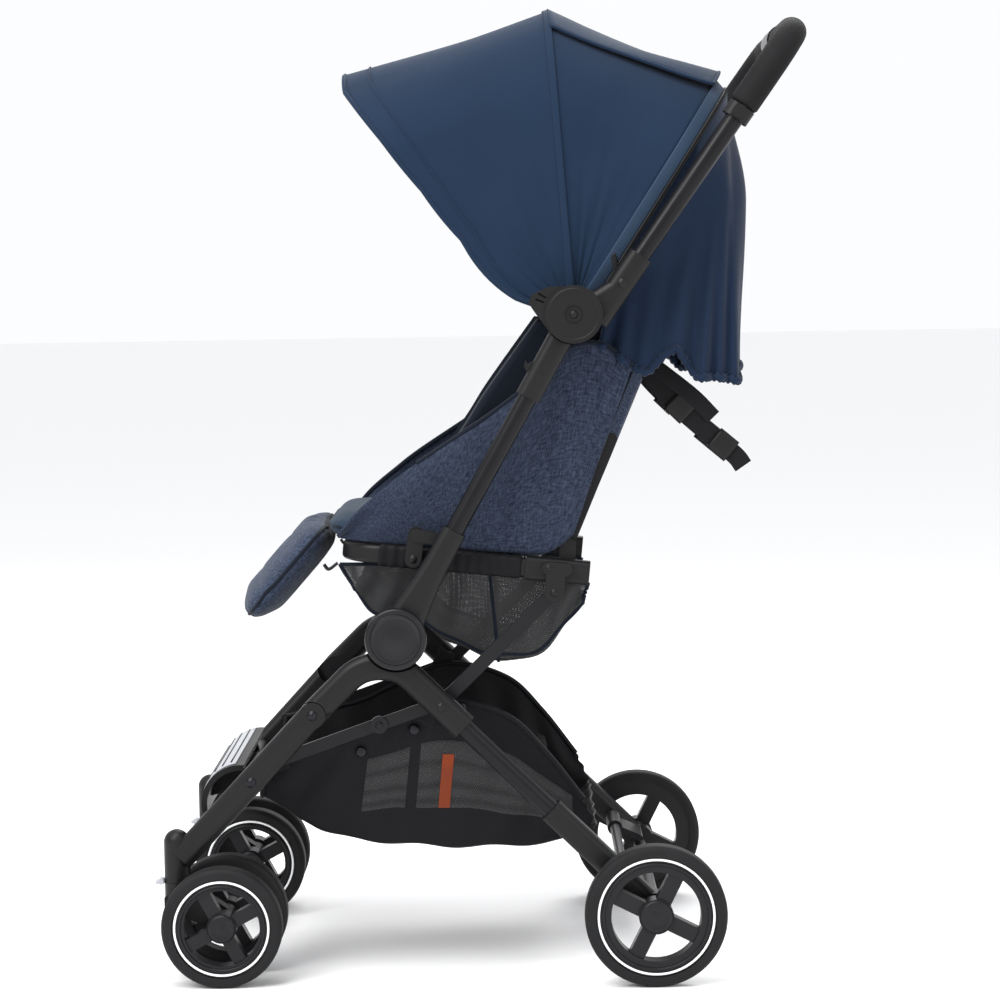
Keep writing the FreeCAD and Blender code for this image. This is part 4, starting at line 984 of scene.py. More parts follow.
# ---- canopy ----
@dataclass
class Canopy:
    """Hood of two fabric panels over a middle rib, with a visor seam, a roof flap and a zipped rear trim."""

    half: float = 0.1824
    corner: float = 0.105
    base: float = 0.022
    rear: Side = (57.0, 0.285)
    middle: Side = (94.0, 0.317)
    front: Side = (132.7, 0.3455)
    columns: int = 121
    visor_row: int = 36
    front_reach: tuple[float, ...] = (0.022, 0.060, 0.076, 0.136, 0.199, 0.264, 0.329, 0.347)
    front_angle: tuple[float, ...] = (168.0, 164.0, 160.0, 145.4, 139.8, 136.9, 135.0, 132.7)

    def outline(self, reach: float, half: float, base: float) -> Array:
        """Hood line in (across, reach): up one side, round a corner, over the crown and down."""
        c = self.corner
        a = np.linspace(0, math.pi / 2, 14)
        arc = np.stack([half - c + c * np.cos(a), reach - c + c * np.sin(a)], 1)
        x = np.linspace(half - c, c - half, 9)
        crown = np.stack([x, reach + 0.004 * (1 - (x / (half - c)) ** 2)], 1)
        left = np.vstack([[[half, base]], [[half, (base + reach - c) / 2]], arc, crown[1:-1]])
        whole = np.vstack([left, (arc * [-1, 1])[::-1], [[-half, (base + reach - c) / 2]], [[-half, base]]])
        return resample(whole, self.columns)

    def edge(self, place: Side, bulge: bool) -> Array:
        """Points of one hood line in the row frame; the front one follows its curved edge."""
        line = self.outline(place[1], self.half, self.base)
        angle = np.full(len(line), place[0])
        if bulge:
            angle = np.interp(line[:, 1], self.front_reach, self.front_angle)
        a = np.radians(angle)
        y, z = HINGE[0] + line[:, 1] * np.cos(a), HINGE[1] + line[:, 1] * np.sin(a)
        return np.stack([line[:, 0], y, z], 1)

    def panel(self, first: Array, last: Array, rows: int, sag: float) -> Surface:
        """Fabric between two hood lines: straight threads that sag by a sine, with fine radial pulls."""
        v = np.linspace(0, 1, rows)[:, None, None]
        pts = first * (1 - v) + last * v
        out = unit((pts - HOOD_CENTRE) * [1.35, 1.0, 1.0])
        u = np.linspace(0, 1, pts.shape[1])[None, :, None]
        low = np.abs(2 * u - 1) ** 3
        pulls = 0.0011 * low * np.sin(v * math.pi) * (np.sin(v * 31 + u * 9) + 0.6 * np.sin(v * 53 - u * 23))
        crown = 0.0006 * np.sin(v * math.pi) * np.sin(u * 37 + v * 5)
        return Surface(pts + out * (pulls + crown - sag * np.sin(v * math.pi) * (0.5 + 0.5 * low)))

    def band(self, rib: Array, width: float, thick: float, lift: float) -> Surface:
        """Flat tape along a hood line, just outside the fabric."""
        out = unit(rib - HOOD_CENTRE)
        path = rib + out * lift
        run = unit(np.gradient(path, axis=0))
        side = unit(np.cross(run, out))
        top = np.cross(side, run)
        profile = strap_profile(width, thick)
        pts = path[:, None] + side[:, None] * profile[None, :, :1] + top[:, None] * profile[None, :, 1:]
        steps = np.r_[0, np.cumsum(np.linalg.norm(np.diff(path, axis=0), axis=1))]
        ring = np.linspace(0, 2 * (width + thick), len(profile))
        return Surface(pts, Wrap.AROUND, np.stack(np.meshgrid(ring, steps), 2), caps=True)

    def build(self) -> None:
        """Makes the two panels, their tapes, the flap and the zip."""
        rear, mid = self.edge(self.rear, False), self.edge(self.middle, False)
        front = self.edge(self.front, True)
        back, fore = self.panel(rear, mid, 30, 0.007), self.panel(mid, front, 42, 0.007)
        crown = self.columns // 2
        for name, surface, node, parent, child, a, b in (
                ("canopy_rear_cloth", back, "canopy_rear_panel", "canopy", "canopy_middle", rear, mid),
                ("canopy_front_cloth", fore, "canopy_front_panel", "canopy_middle", "canopy_front",
                 mid, front)):
            piece = thicken(add_surface(name, surface), 0.0016)
            dress(piece, Finish.CANOPY, "canopy_fabric")
            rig.replaces(piece, node)
            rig.blend(piece, parent, child, start=tuple(a[crown]), end=tuple(b[crown]))
            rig.sheet(piece, held="stretched", rests_on=["canopy_mid_bow"], **cloth_facts(surface))
            LOG.info("%s: %d faces", name, len(piece.data.polygons))
        tape = add_surface("canopy_rib_tape", self.band(mid, 0.007, 0.0022, 0.0016))
        tell(dress(tape, Finish.CANOPY, "canopy_fabric"), "canopy_middle")
        visor = fore.points[self.visor_row]
        hem = profile_run(front, ring_profile(0.0024, 8), (1.0, 0.02, 0.01))
        seam = self.band(visor, 0.004, 0.0014, 0.0012)
        edge = join_surfaces("canopy_front_hem", [hem, seam])
        tell(dress(edge, Finish.CANOPY, "canopy_fabric"), "canopy_front")
        self.flap(back)
        self.zip(rear)

    def flap(self, back: Surface) -> None:
        """Roof flap over the rear panel's crown, a few millimetres proud, with a rolled hem."""
        first, last = int(self.columns * 0.33), int(self.columns * 0.67)
        patch = back.points[:, first:last + 1].copy()
        n, m = patch.shape[:2]
        v = np.linspace(0, 1, n)[:, None]
        u = np.linspace(-1, 1, m)[None, :]
        lift = 0.0032 + 0.007 * (1 - v) ** 2 + 0.0016 * np.sin(u * 8 + v * 6) * (1 - v) + 0.003 * u ** 6
        patch[..., 2] += lift
        patch[..., 1] += 0.35 * lift
        surface = Surface(patch)
        piece = thicken(add_surface("canopy_roof_flap", surface), 0.0014)
        dress(piece, Finish.CANOPY, "canopy_fabric")
        ends = {"start": tuple(patch[0, m // 2]), "end": tuple(patch[-1, m // 2])}
        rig.blend(piece, "canopy", "canopy_middle", **ends)
        border = np.vstack([patch[::-1, 0], patch[0], patch[:, -1]])
        hem = profile_run(resample(border, 160), ring_profile(0.0019, 8), (0.1, 0.5, 1.0))
        rolled = dress(add_surface("canopy_flap_hem", hem), Finish.CANOPY, "canopy_fabric")
        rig.blend(rolled, "canopy", "canopy_middle", **ends)
        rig.sheet(piece, held="stretched", rests_on=["canopy_rear_cloth"], with_pieces=[rolled],
                 **cloth_facts(surface))

    def zip(self, rear: Array) -> None:
        """Ribbed trim along the rear edge, with a row of zip teeth and two pullers."""
        a = math.radians(self.rear[0])
        back = np.array([0, math.sin(a), -math.cos(a)])
        trim = add_surface("canopy_rear_trim", self.band(rear + back * 0.004, 0.013, 0.0022, 0.0014))
        tell(dress(trim, Finish.TRIM, "canopy_fabric"), "canopy")
        line = resample(rear + back * 0.0125, 2400)
        out = unit(line - HOOD_CENTRE)
        height = np.where(np.arange(len(line)) % 6 < 3, 0.0016, 0.0008)[:, None, None]
        path = line + out * 0.0008
        across = np.cross(unit(np.gradient(path, axis=0)), out)
        corners = np.array([(0.0021, -1.0), (0.0021, 1.0), (-0.0021, 1.0), (-0.0021, -1.0)])
        x, z = corners[None, :, :1], corners[None, :, 1:]
        pts = path[:, None] + across[:, None] * x + out[:, None] * z * height
        teeth = Surface(pts, Wrap.AROUND, caps=True)
        tell(dress(add_surface("canopy_zip_teeth", teeth), Finish.BLACK_PLASTIC, "black_plastic"), "canopy")
        pulls = []
        for sign in (1, -1):
            start = np.array([sign * (self.half + 0.0022), HINGE[0] + 0.041, HINGE[1] + 0.062])
            path = resample([start, start + [0, 0.003, -0.012], start + [0, 0.004, -0.03]], 12)
            pulls.append(profile_run(path, strap_profile(0.006, 0.002), (1.0, 0, 0)))
        pullers = join_surfaces("canopy_zip_pullers", pulls)
        tell(dress(pullers, Finish.BLACK_PLASTIC, "black_plastic"), "canopy")


@dataclass
class Curtain:
    """Fabric drop behind the seat back: it hangs from the hood's rear edge to an elastic hem."""

    half: float = 0.164
    hem_y: tuple[float, ...] = (0.126, 0.150, 0.177, 0.207, 0.2285, 0.250, 0.271, 0.2785)
    hem_z: tuple[float, ...] = (0.655, 0.638, 0.627, 0.650, 0.621, 0.616, 0.618, 0.630)
    columns: int = 181
    rows: int = 56

    def build(self) -> None:
        """Columns drop from the hood's line to a U round the back, with ripples that grow to the hem."""
        u = np.linspace(0, 1, self.columns)
        half = self.half
        plan = resample([(half, 0.0), (half + 0.002, 0.5), (half - 0.006, 0.86), (half - 0.045, 1.0),
                         (0.05, 1.01), (-0.05, 1.01), (0.045 - half, 1.0), (0.006 - half, 0.86),
                         (-half - 0.002, 0.5), (-half, 0.0)], self.columns)
        hood = Canopy()
        line = resample(hood.edge(hood.rear, False)[5:-5], self.columns) + np.array([0, 0.012, -0.006])
        v = np.linspace(0, 1, self.rows)[:, None]
        x_low, share = plan[:, 0], plan[:, 1]
        y_low = self.hem_y[0] + (self.hem_y[-1] - self.hem_y[0]) * share
        z_low = np.interp(y_low, self.hem_y, self.hem_z) + 0.003 * np.sin(u * 40)
        y_mid = np.maximum(line[:, 1], y_low)
        drop = smooth(v * 2.4)
        x = line[:, 0] * (1 - drop) + x_low * drop
        x = np.clip(x, -0.176, 0.176)
        y = line[:, 1] * (1 - drop) + (y_mid * (1 - v) + y_low * v) * drop
        z = line[:, 2] * (1 - v) + z_low * v
        fold = smooth((v - 0.35) / 0.65)
        ripple = np.sin(u * 92 + 2.2 * np.sin(u * 17)) * 0.0045 + np.sin(u * 57 + v * 3) * 0.003
        side = smooth((np.abs(x_low) - 0.11) / 0.05)
        x = x + np.sign(x_low) * ripple * fold * side
        y = y + ripple * fold * (1 - side) * 1.1 + 0.004 * np.sin(v * 5) * (1 - side)
        slack = 0.010 * np.sin(v * math.pi) * side
        x = x - np.sign(x_low) * slack
        surface = Surface(np.stack([x, y, z + 0 * x], 2)[:, ::-1])
        piece = thicken(add_surface("back_curtain_cloth", surface), 0.0012)
        dress(piece, Finish.CURTAIN, "curtain_fabric")
        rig.replaces(piece, "back_curtain")
        tell(piece, "canopy")
        hem = profile_run(resample(surface.points[-1], 500), ring_profile(0.0042, 8), (0, 0, 1.0))
        hem.points[..., 2] += 0.0012 * np.sin(np.arange(500) * 1.25)[:, None]
        rolled = dress(add_surface("back_curtain_hem", hem), Finish.CURTAIN, "curtain_fabric")
        tell(rolled, "canopy")
        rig.sheet(piece, held="hung", rests_on=["canopy_rear_trim"], with_pieces=[rolled],
                 **cloth_facts(surface))


# ---- seat ----
@dataclass
class Seat:
    """Padded seat: cushion, reclining back, leg rest, side wings, harness and straps."""

    wing_x: float = 0.1575
    rail_x: float = 0.158
    back_angle: float = 67.0

    def pads(self) -> None:
        """Cushion, back and leg rest with their piping."""
        seat_at = polar(polar(RAIL_FRONT, RAIL_ANGLE, 0.103), RAIL_ANGLE + 90, 0.0225)
        rest_at = along(LEG_REST_HINGE, 228.5, 0.064, 0.010)
        back_at = along(BACK_HINGE, self.back_angle, 0.176, 0.006)
        cushion = Pad("seat_pad", seat_at, RAIL_ANGLE, (0.154, 0.130, 0.0165), 7.0, (-0.36, 0.3),
                      depth=0.003, cap=0.005)
        rest = Pad("leg_rest_pad", rest_at, 48.5, (0.139, 0.069, 0.0205), 5.0, (-0.34, 0.34), depth=0.003)
        board = Pad("back_pad", back_at, self.back_angle, (0.137, 0.173, 0.0145), 6.0,
                    (-0.35, 0.05, 0.45), (-0.5, 0.5))
        for pad, node, body, slot in ((cushion, "seat_cushion", "seat", "seat_fabric"),
                                      (rest, "leg_rest", "leg_rest", "melange_fabric"),
                                      (board, "backrest", "seat_back", "seat_fabric")):
            piece = pad.build()
            dress(piece, Finish.INSERT if pad is cushion else Finish.MELANGE, slot)
            welt = add_surface(pad.name + "_welt", pad.piping(piece, 0.0022))
            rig.replaces(piece, node)
            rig.padded(piece, 0.7)
            tell(piece, body)
            tell(dress(welt, Finish.LINING, slot), body)

    def wing(self) -> Surface:
        """Left side cloth: rows from the rail up to the push tube's line, columns from front to back."""
        low = resample([(-0.148, 0.459), (-0.10, 0.4525), (-0.03, 0.4455), (0.03, 0.4405), (0.070, 0.4395),
                        (0.097, 0.458)], 90)
        high = resample([(-0.148, 0.461), (-0.127, 0.486), (-0.098, 0.510), (-0.070, 0.531),
                         (-0.015, 0.5665), (0.026, 0.594), (0.057, 0.618), (0.078, 0.641), (0.100, 0.655),
                         (0.130, 0.655), (0.160, 0.632)], 90)
        v = np.linspace(0, 1, 44)[:, None]
        y = low[:, 0] * (1 - v) + high[:, 0] * v
        z = low[:, 1] * (1 - v) + high[:, 1] * v
        u = np.linspace(0, 1, 90)[None, :]
        belly = 0.010 * np.sin(v * math.pi) * np.sin(u * math.pi) + 0.009 * smooth((v - 0.4) / 0.6)
        folds = 0.0034 * np.sin(u * 34 + 7 * v) * smooth((u - 0.2) * 2) * np.sin(v * math.pi) ** 0.7
        soft = 0.0014 * np.sin(u * 19 - 5 * v) * np.sin(v * math.pi)
        x = self.wing_x + belly + folds + soft
        return Surface(np.stack([x + 0 * y, y, z], 2)[:, ::-1])

    def insert(self, tag: str) -> bpy.types.Object:
        """Dark padded side of the head space: it stands forward of the side cloth, up to the hinge."""
        line = resample([(-0.045, 0.530), (-0.0145, 0.5725), (0.003, 0.600), (0.023, 0.628),
                         (0.043, 0.655), (0.063, 0.682)], 40)
        v = np.linspace(0, 1, 12)[:, None]
        y = line[:, 0] + 0.075 * v
        x = 0.148 - 0.006 * np.sin(v * math.pi) + 0 * y
        made = Surface(np.stack([x, y, line[:, 1] - 0.012 * v], 2)[:, ::-1])
        if tag == "right":
            made = mirror_surface(made)
        piece = thicken(add_surface("seat_insert_" + tag, made), 0.009)
        return dress(piece, Finish.LINING, "seat_fabric")

    def wings(self) -> None:
        """Both side cloths with a dark bound edge."""
        left = self.wing()
        for tag, surface in (("left", left), ("right", mirror_surface(left))):
            lining = self.insert(tag)
            piece = thicken(add_surface("seat_wing_" + tag, surface), 0.0034)
            dress(piece, Finish.SEAT, "seat_fabric")
            if tag == "left":
                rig.replaces(piece, "seat_wings")
            edge = resample(surface.points[-1, :64], 160)
            binding = add_surface("seat_wing_binding_" + tag,
                                  profile_run(edge, ring_profile(0.0028, 8), (1.0, 0, 0)))
            dress(binding, Finish.LINING, "seat_fabric")
            for cloth in (piece, binding, lining):
                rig.blend(cloth, "main_frame", "seat", start=(0.16, 0.06, 0.69), end=(0.16, -0.03, 0.445))
            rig.sheet(piece, held="stretched", rests_on=["seat_rail"], with_pieces=[binding, lining],
                     **cloth_facts(surface))
            LOG.info("%s: %d faces", piece.name, len(piece.data.polygons))

    def harness(self) -> None:
        """Shoulder straps with their pads, and the waist straps."""
        straps, pads = [], []
        for sign in (1, -1):
            x = sign * 0.0485
            face = [(x, *along(BACK_HINGE, self.back_angle, s, 0.0235)) for s in (0.06, 0.12, 0.20, 0.285)]
            straps.append(profile_run(resample(face, 60), strap_profile(0.0016, 0.026), (1.0, 0, 0)))
            cover = [(x, *along(BACK_HINGE, self.back_angle, s, 0.028)) for s in (0.15, 0.21, 0.28)]
            pads.append(profile_run(resample(cover, 40), strap_profile(0.009, 0.040), (1.0, 0, 0)))
            y, z = along(BACK_HINGE, self.back_angle, 0.05, 0.024)
            belt = resample([(sign * 0.145, y - 0.02, z - 0.02), (sign * 0.09, y - 0.035, 0.482),
                             (sign * 0.04, -0.042, 0.482), (sign * 0.02, -0.067, 0.481)], 60)
            straps.append(profile_run(belt, strap_profile(0.0016, 0.024), (0, 0.3, 1.0)))
        piece = dress(join_surfaces("harness_webbing", straps), Finish.WEBBING, "webbing")
        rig.replaces(piece, "harness_straps")
        tell(piece, "seat_back")
        cover = dress(join_surfaces("harness_shoulder_pads", pads), Finish.SEAT, "seat_fabric")
        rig.padded(cover, 0.5)
        tell(cover, "seat_back")

    def recline_straps(self) -> None:
        """Hanging webbing of the recline adjuster with its buckles, and the webbing beside the back."""
        webs, plastics = [], []
        for sign in (1, -1):
            x = sign * 0.110
            tail = resample([(x, 0.176, 0.640), (x, 0.186, 0.615), (x, 0.214, 0.585), (x, 0.246, 0.556),
                             (x, 0.270, 0.535), (x + sign * 0.003, 0.278, 0.524)], 90)
            webs.append(profile_run(tail, strap_profile(0.020, 0.0018), (1.0, 0, 0)))
            loop = resample([(x, 0.174, 0.632), (x, 0.19, 0.62), (x, 0.222, 0.594), (x, 0.243, 0.572)], 60)
            loop = loop + np.array([sign * 0.004, 0.004, 0.004])
            webs.append(profile_run(loop, strap_profile(0.017, 0.0018), (1.0, 0, 0)))
            for share in (0.42, 0.8):
                k = int(share * 89)
                run = unit(tail[k + 1] - tail[k - 1])
                block = np.stack([tail[k] + run * t for t in np.linspace(-0.012, 0.012, 8)])
                plastics.append(profile_run(block, strap_profile(0.026, 0.009), (1.0, 0, 0)))
            x = sign * 0.1465
            side = resample([(x, 0.104, 0.532), (x, 0.094, 0.50), (x, 0.082, 0.466), (x, 0.074, 0.445)], 40)
            webs.append(profile_run(side, strap_profile(0.019, 0.0018), (1.0, 0, 0)))
            plastics.append(profile_run(side[14:26], strap_profile(0.025, 0.007), (1.0, 0, 0)))
        piece = dress(join_surfaces("recline_webbing", webs), Finish.WEBBING, "webbing")
        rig.replaces(piece, "recline_straps")
        tell(piece, "seat_back")
        buckles = join_surfaces("recline_buckles", plastics)
        tell(dress(buckles, Finish.BLACK_PLASTIC, "black_plastic"), "seat_back")

    def rail_wrap(self) -> None:
        """Gathered cloth sleeve on the seat rail, and the hook at its front."""
        sleeves, hooks = [], []
        gathers = 1 + 0.035 * np.sin(np.arange(90) * 0.9)[:, None, None]
        for sign in (1, -1):
            x = sign * self.rail_x
            path = resample([(x, *polar(RAIL_FRONT, RAIL_ANGLE, s)) for s in (0.040, 0.188)], 90)
            run = profile_run(path, soft_box(0.0215, 0.0236, (0.4, 0.4), 28), (0, 0, 1.0))
            run.points[:] = path[:, None] + (run.points - path[:, None]) * gathers
            sleeves.append(run)
            hook = resample([(x, -0.149, 0.432), (x, -0.158, 0.426), (x, -0.163, 0.431)], 24)
            hooks.append(profile_run(hook, strap_profile(0.012, 0.003), (0, 0, 1.0)))
        tell(dress(join_surfaces("seat_rail_sleeve", sleeves), Finish.BASKET, "webbing"), "seat")
        tell(dress(join_surfaces("seat_rail_hooks", hooks), Finish.BLACK_PLASTIC, "black_plastic"), "seat")

    def build(self) -> None:
        """Makes every soft piece of the seat."""
        self.pads()
        self.wings()
        self.harness()
        self.recline_straps()
        self.rail_wrap()


# ---- bags ----
@dataclass
class Bag:
    """A cloth trough between the side frames: a side outline with a rounded plan and a sagging floor.

    Attributes:
        rim: the open top's side points, front to back.
        floor: the lowest line's side points, front to back.
        half: half width at the rim.
        narrow: how much narrower the floor is.
        sag: how far the floor's middle hangs.
    """

    name: str
    rim: tuple[Side, ...]
    floor: tuple[Side, ...]
    half: float
    narrow: float
    sag: float = 0.004
    rows: int = 64
    columns: int = 97

    def surface(self) -> Surface:
        """Rows run front to back, and each goes down one wall, across the floor and up the other."""
        rim, floor = resample(self.rim, self.rows), resample(self.floor, self.rows)
        a = np.linspace(-1, 1, self.columns)
        wall = smooth((np.abs(a) - 0.42) / 0.58) ** 0.9
        x = np.sign(a) * (self.half - self.narrow * (1 - wall)) * np.minimum(1, np.abs(a) / 0.46) ** 0.92
        pts = np.empty((self.rows, self.columns, 3))
        pts[..., 0] = x
        pts[..., 1:] = floor[:, None] * (1 - wall[None, :, None]) + rim[:, None] * wall[None, :, None]
        v = np.linspace(0, 1, self.rows)[:, None]
        ends = np.sin(v * math.pi) ** 0.35
        pts[..., 2] -= self.sag * (1 - np.abs(a)) * ends
        fold = 0.0021 * np.sin(v * 45 + 3 * np.sin(a * 5)) * wall * (1 - wall) * 4
        pts[..., 0] += np.sign(a) * fold
        pts[..., 2] += 0.0016 * np.sin(v * 30 + a * 14) * (1 - wall)
        return Surface(pts)


@dataclass
class Storage:
    """Shopping basket and the net pocket under the seat."""

    def basket(self) -> None:
        """Glossy cloth basket with net windows, a bound rim, a tag and a gathered rear."""
        bag = Bag("basket_cloth",
                  ((-0.2290, 0.2275), (-0.150, 0.2430), (-0.107, 0.2610), (-0.043, 0.2860), (0.023, 0.2700),
                   (0.064, 0.2310), (0.103, 0.1800)),
                  ((-0.2335, 0.186), (-0.190, 0.160), (-0.147, 0.141), (-0.039, 0.1295), (0.060, 0.1315),
                   (0.105, 0.142), (0.117, 0.152)), 0.1555, 0.012, 0.002)
        surface = bag.surface()
        u = np.linspace(0, 1, surface.points.shape[0])[:, None]
        rear = smooth((u - 0.72) / 0.28)
        a = np.linspace(-1, 1, surface.points.shape[1])[None, :]
        surface.points[..., 1] += 0.0012 * rear * np.sin(a * 34)
        piece = thicken(add_surface(bag.name, surface), 0.0014)
        dress(piece, Finish.BASKET, "basket_mesh")
        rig.replaces(piece, "basket")
        self.fold(piece)
        parts, nets, tags = [], [], []
        for side in (0, -1):
            edge = resample(surface.points[:, side], 200)
            parts.append(profile_run(edge, ring_profile(0.0032, 8), (1.0, 0, 0)))
        edge = resample(surface.points[0], 200)
        parts.append(profile_run(edge, ring_profile(0.0030, 8), (0, 0.2, 1.0)))
        rim = self.fold(dress(join_surfaces("basket_rim", parts), Finish.BASKET, "webbing"))
        for sign in (1, -1):
            nets.append(self.patch(surface, sign, (0.46, 0.93), (0.60, 0.80)))
            nets.append(self.patch(surface, sign, (0.30, 0.43), (0.60, 0.80)))
            tags.append(self.patch(surface, sign, (0.52, 0.55), (0.60, 0.74), 0.0022))
        net = self.fold(dress(join_surfaces("basket_net_windows", nets), Finish.BASKET_NET, "basket_mesh"))
        tag = self.fold(dress(join_surfaces("basket_tag", tags), Finish.TAG, "basket_mesh"))
        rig.sheet(piece, held="hung", rests_on=["hub_arches"], with_pieces=[rim, net, tag],
                 **cloth_facts(surface))
        straps = []
        for sign in (1, -1):
            for top, low in (((-0.043, 0.300), (-0.062, 0.262)), ((-0.232, 0.219), (-0.205, 0.228))):
                middle = ((top[0] + low[0]) / 2, (top[1] + low[1]) / 2)
                path = resample([(sign * 0.1585, *top), (sign * 0.1590, *middle), (sign * 0.1575, *low)], 24)
                straps.append(profile_run(path, strap_profile(0.020, 0.0016), (1.0, 0, 0)))
        self.fold(dress(join_surfaces("basket_tabs", straps), Finish.WEBBING, "webbing"))

    def patch(self, surface: Surface, sign: float, run: tuple[float, float], drop: tuple[float, float],
              lift: float = 0.0014) -> Surface:
        """Part of a bag's wall, by shares of its length and of its half girth, lifted off the cloth."""
        n, m = surface.points.shape[:2]
        half = m // 2
        cols = half + np.round(np.linspace(*drop, 14) * half).astype(int)
        rows = np.unique(np.round(np.linspace(*run, 30) * (n - 1)).astype(int))
        pts = surface.points[np.ix_(rows, cols)].copy()
        pts[..., 0] += lift
        made = Surface(pts)
        return made if sign > 0 else mirror_surface(made)

    def fold(self, piece: bpy.types.Object) -> bpy.types.Object:
        """Lets a piece of the basket close up towards the rear as the frame folds."""
        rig.ride(piece, "chassis")
        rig.squash(piece, "frame_fold", axis=(0, 1, 0), anchor=(0, 0.115, 0.2), keep=0.55)
        LOG.info("%s closes with the frame: %d faces", piece.name, len(piece.data.polygons))
        return piece

    def pocket(self) -> None:
        """Net pocket slung under the seat, with bound seams."""
        bag = Bag("seat_net",
                  ((-0.147, 0.4300), (-0.10, 0.4285), (-0.02, 0.4215), (0.06, 0.4130), (0.112, 0.4060)),
                  ((-0.132, 0.402), (-0.112, 0.376), (-0.071, 0.3715), (-0.030, 0.3440), (0.020, 0.3260),
                   (0.062, 0.3330), (0.106, 0.385)), 0.1475, 0.008, 0.002)
        surface = bag.surface()
        piece = thicken(add_surface(bag.name, surface), 0.0010)
        dress(piece, Finish.NET, "under_mesh")
        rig.replaces(piece, "mesh_bag")
        tell(piece, "seat")
        seams = [profile_run(resample(surface.points[:, c], 160), ring_profile(0.0020, 6), (1.0, 0, 0))
                 for c in (0, 24, 72, 96)]
        seams += [profile_run(resample(surface.points[r], 160), ring_profile(0.0022, 6), (0, 0.3, 1.0))
                  for r in (0, 38, 63)]
        bound = tell(dress(join_surfaces("seat_net_binding", seams), Finish.LINING, "under_mesh"), "seat")
        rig.sheet(piece, held="hung", rests_on=["seat_rail"], with_pieces=[bound], **cloth_facts(surface))


# ---- wheels, grip and hinges ----
@dataclass
class Running:
    """Wheel trims: reflective rings, hub domes and rim beads."""

    def wheel(self, tag: str, axle: Side, face: float, sign: float, radius: float, body: str) -> None:
        """Ring, rim bead and hub dome on one face of a wheel."""
        c, r = (face, *axle), radius
        ring = turned(c, sign, [(0.0, r - 0.0152), (0.0007, r - 0.0150), (0.0009, r - 0.0140),
                                (0.0007, r - 0.0130), (0.0, r - 0.0128)], 96)
        tell(dress(add_surface(f"wheel_ring_{tag}", ring), Finish.PIPING, "wheel_plastic"), body)
        hub = r * 0.235
        dome = turned(c, sign, [(-0.003, hub), (0.0002, hub), (0.0018, hub - 0.0016), (0.0026, hub * 0.7),
                                (0.0020, hub * 0.66), (0.0030, hub * 0.4), (0.0034, 0.0004)], 64)
        bead = turned(c, sign, [(-0.0030, r - 0.0172), (0.0, r - 0.0172), (0.0011, r - 0.0178),
                                (0.0011, r - 0.0195), (0.0, r - 0.0204), (-0.0030, r - 0.0204)], 96)
        trim = join_surfaces(f"wheel_hub_{tag}", [dome, bead])
        tell(dress(trim, Finish.WHEEL_PLASTIC, "wheel_plastic"), body)

    def build(self) -> None:
        """Trims for every wheel."""
        for side, sign in (("left", 1), ("right", -1)):
            self.wheel(f"rear_{side}", REAR_AXLE, sign * 0.2486, sign, 0.073, f"rear_wheel_{side}")
            for place, face, out in (("outer", 0.2256, 1), ("inner", 0.1284, -1)):
                self.wheel(f"front_{side}_{place}", FRONT_AXLE, sign * face, sign * out, 0.0625,
                           f"front_wheel_{side}_{place}")


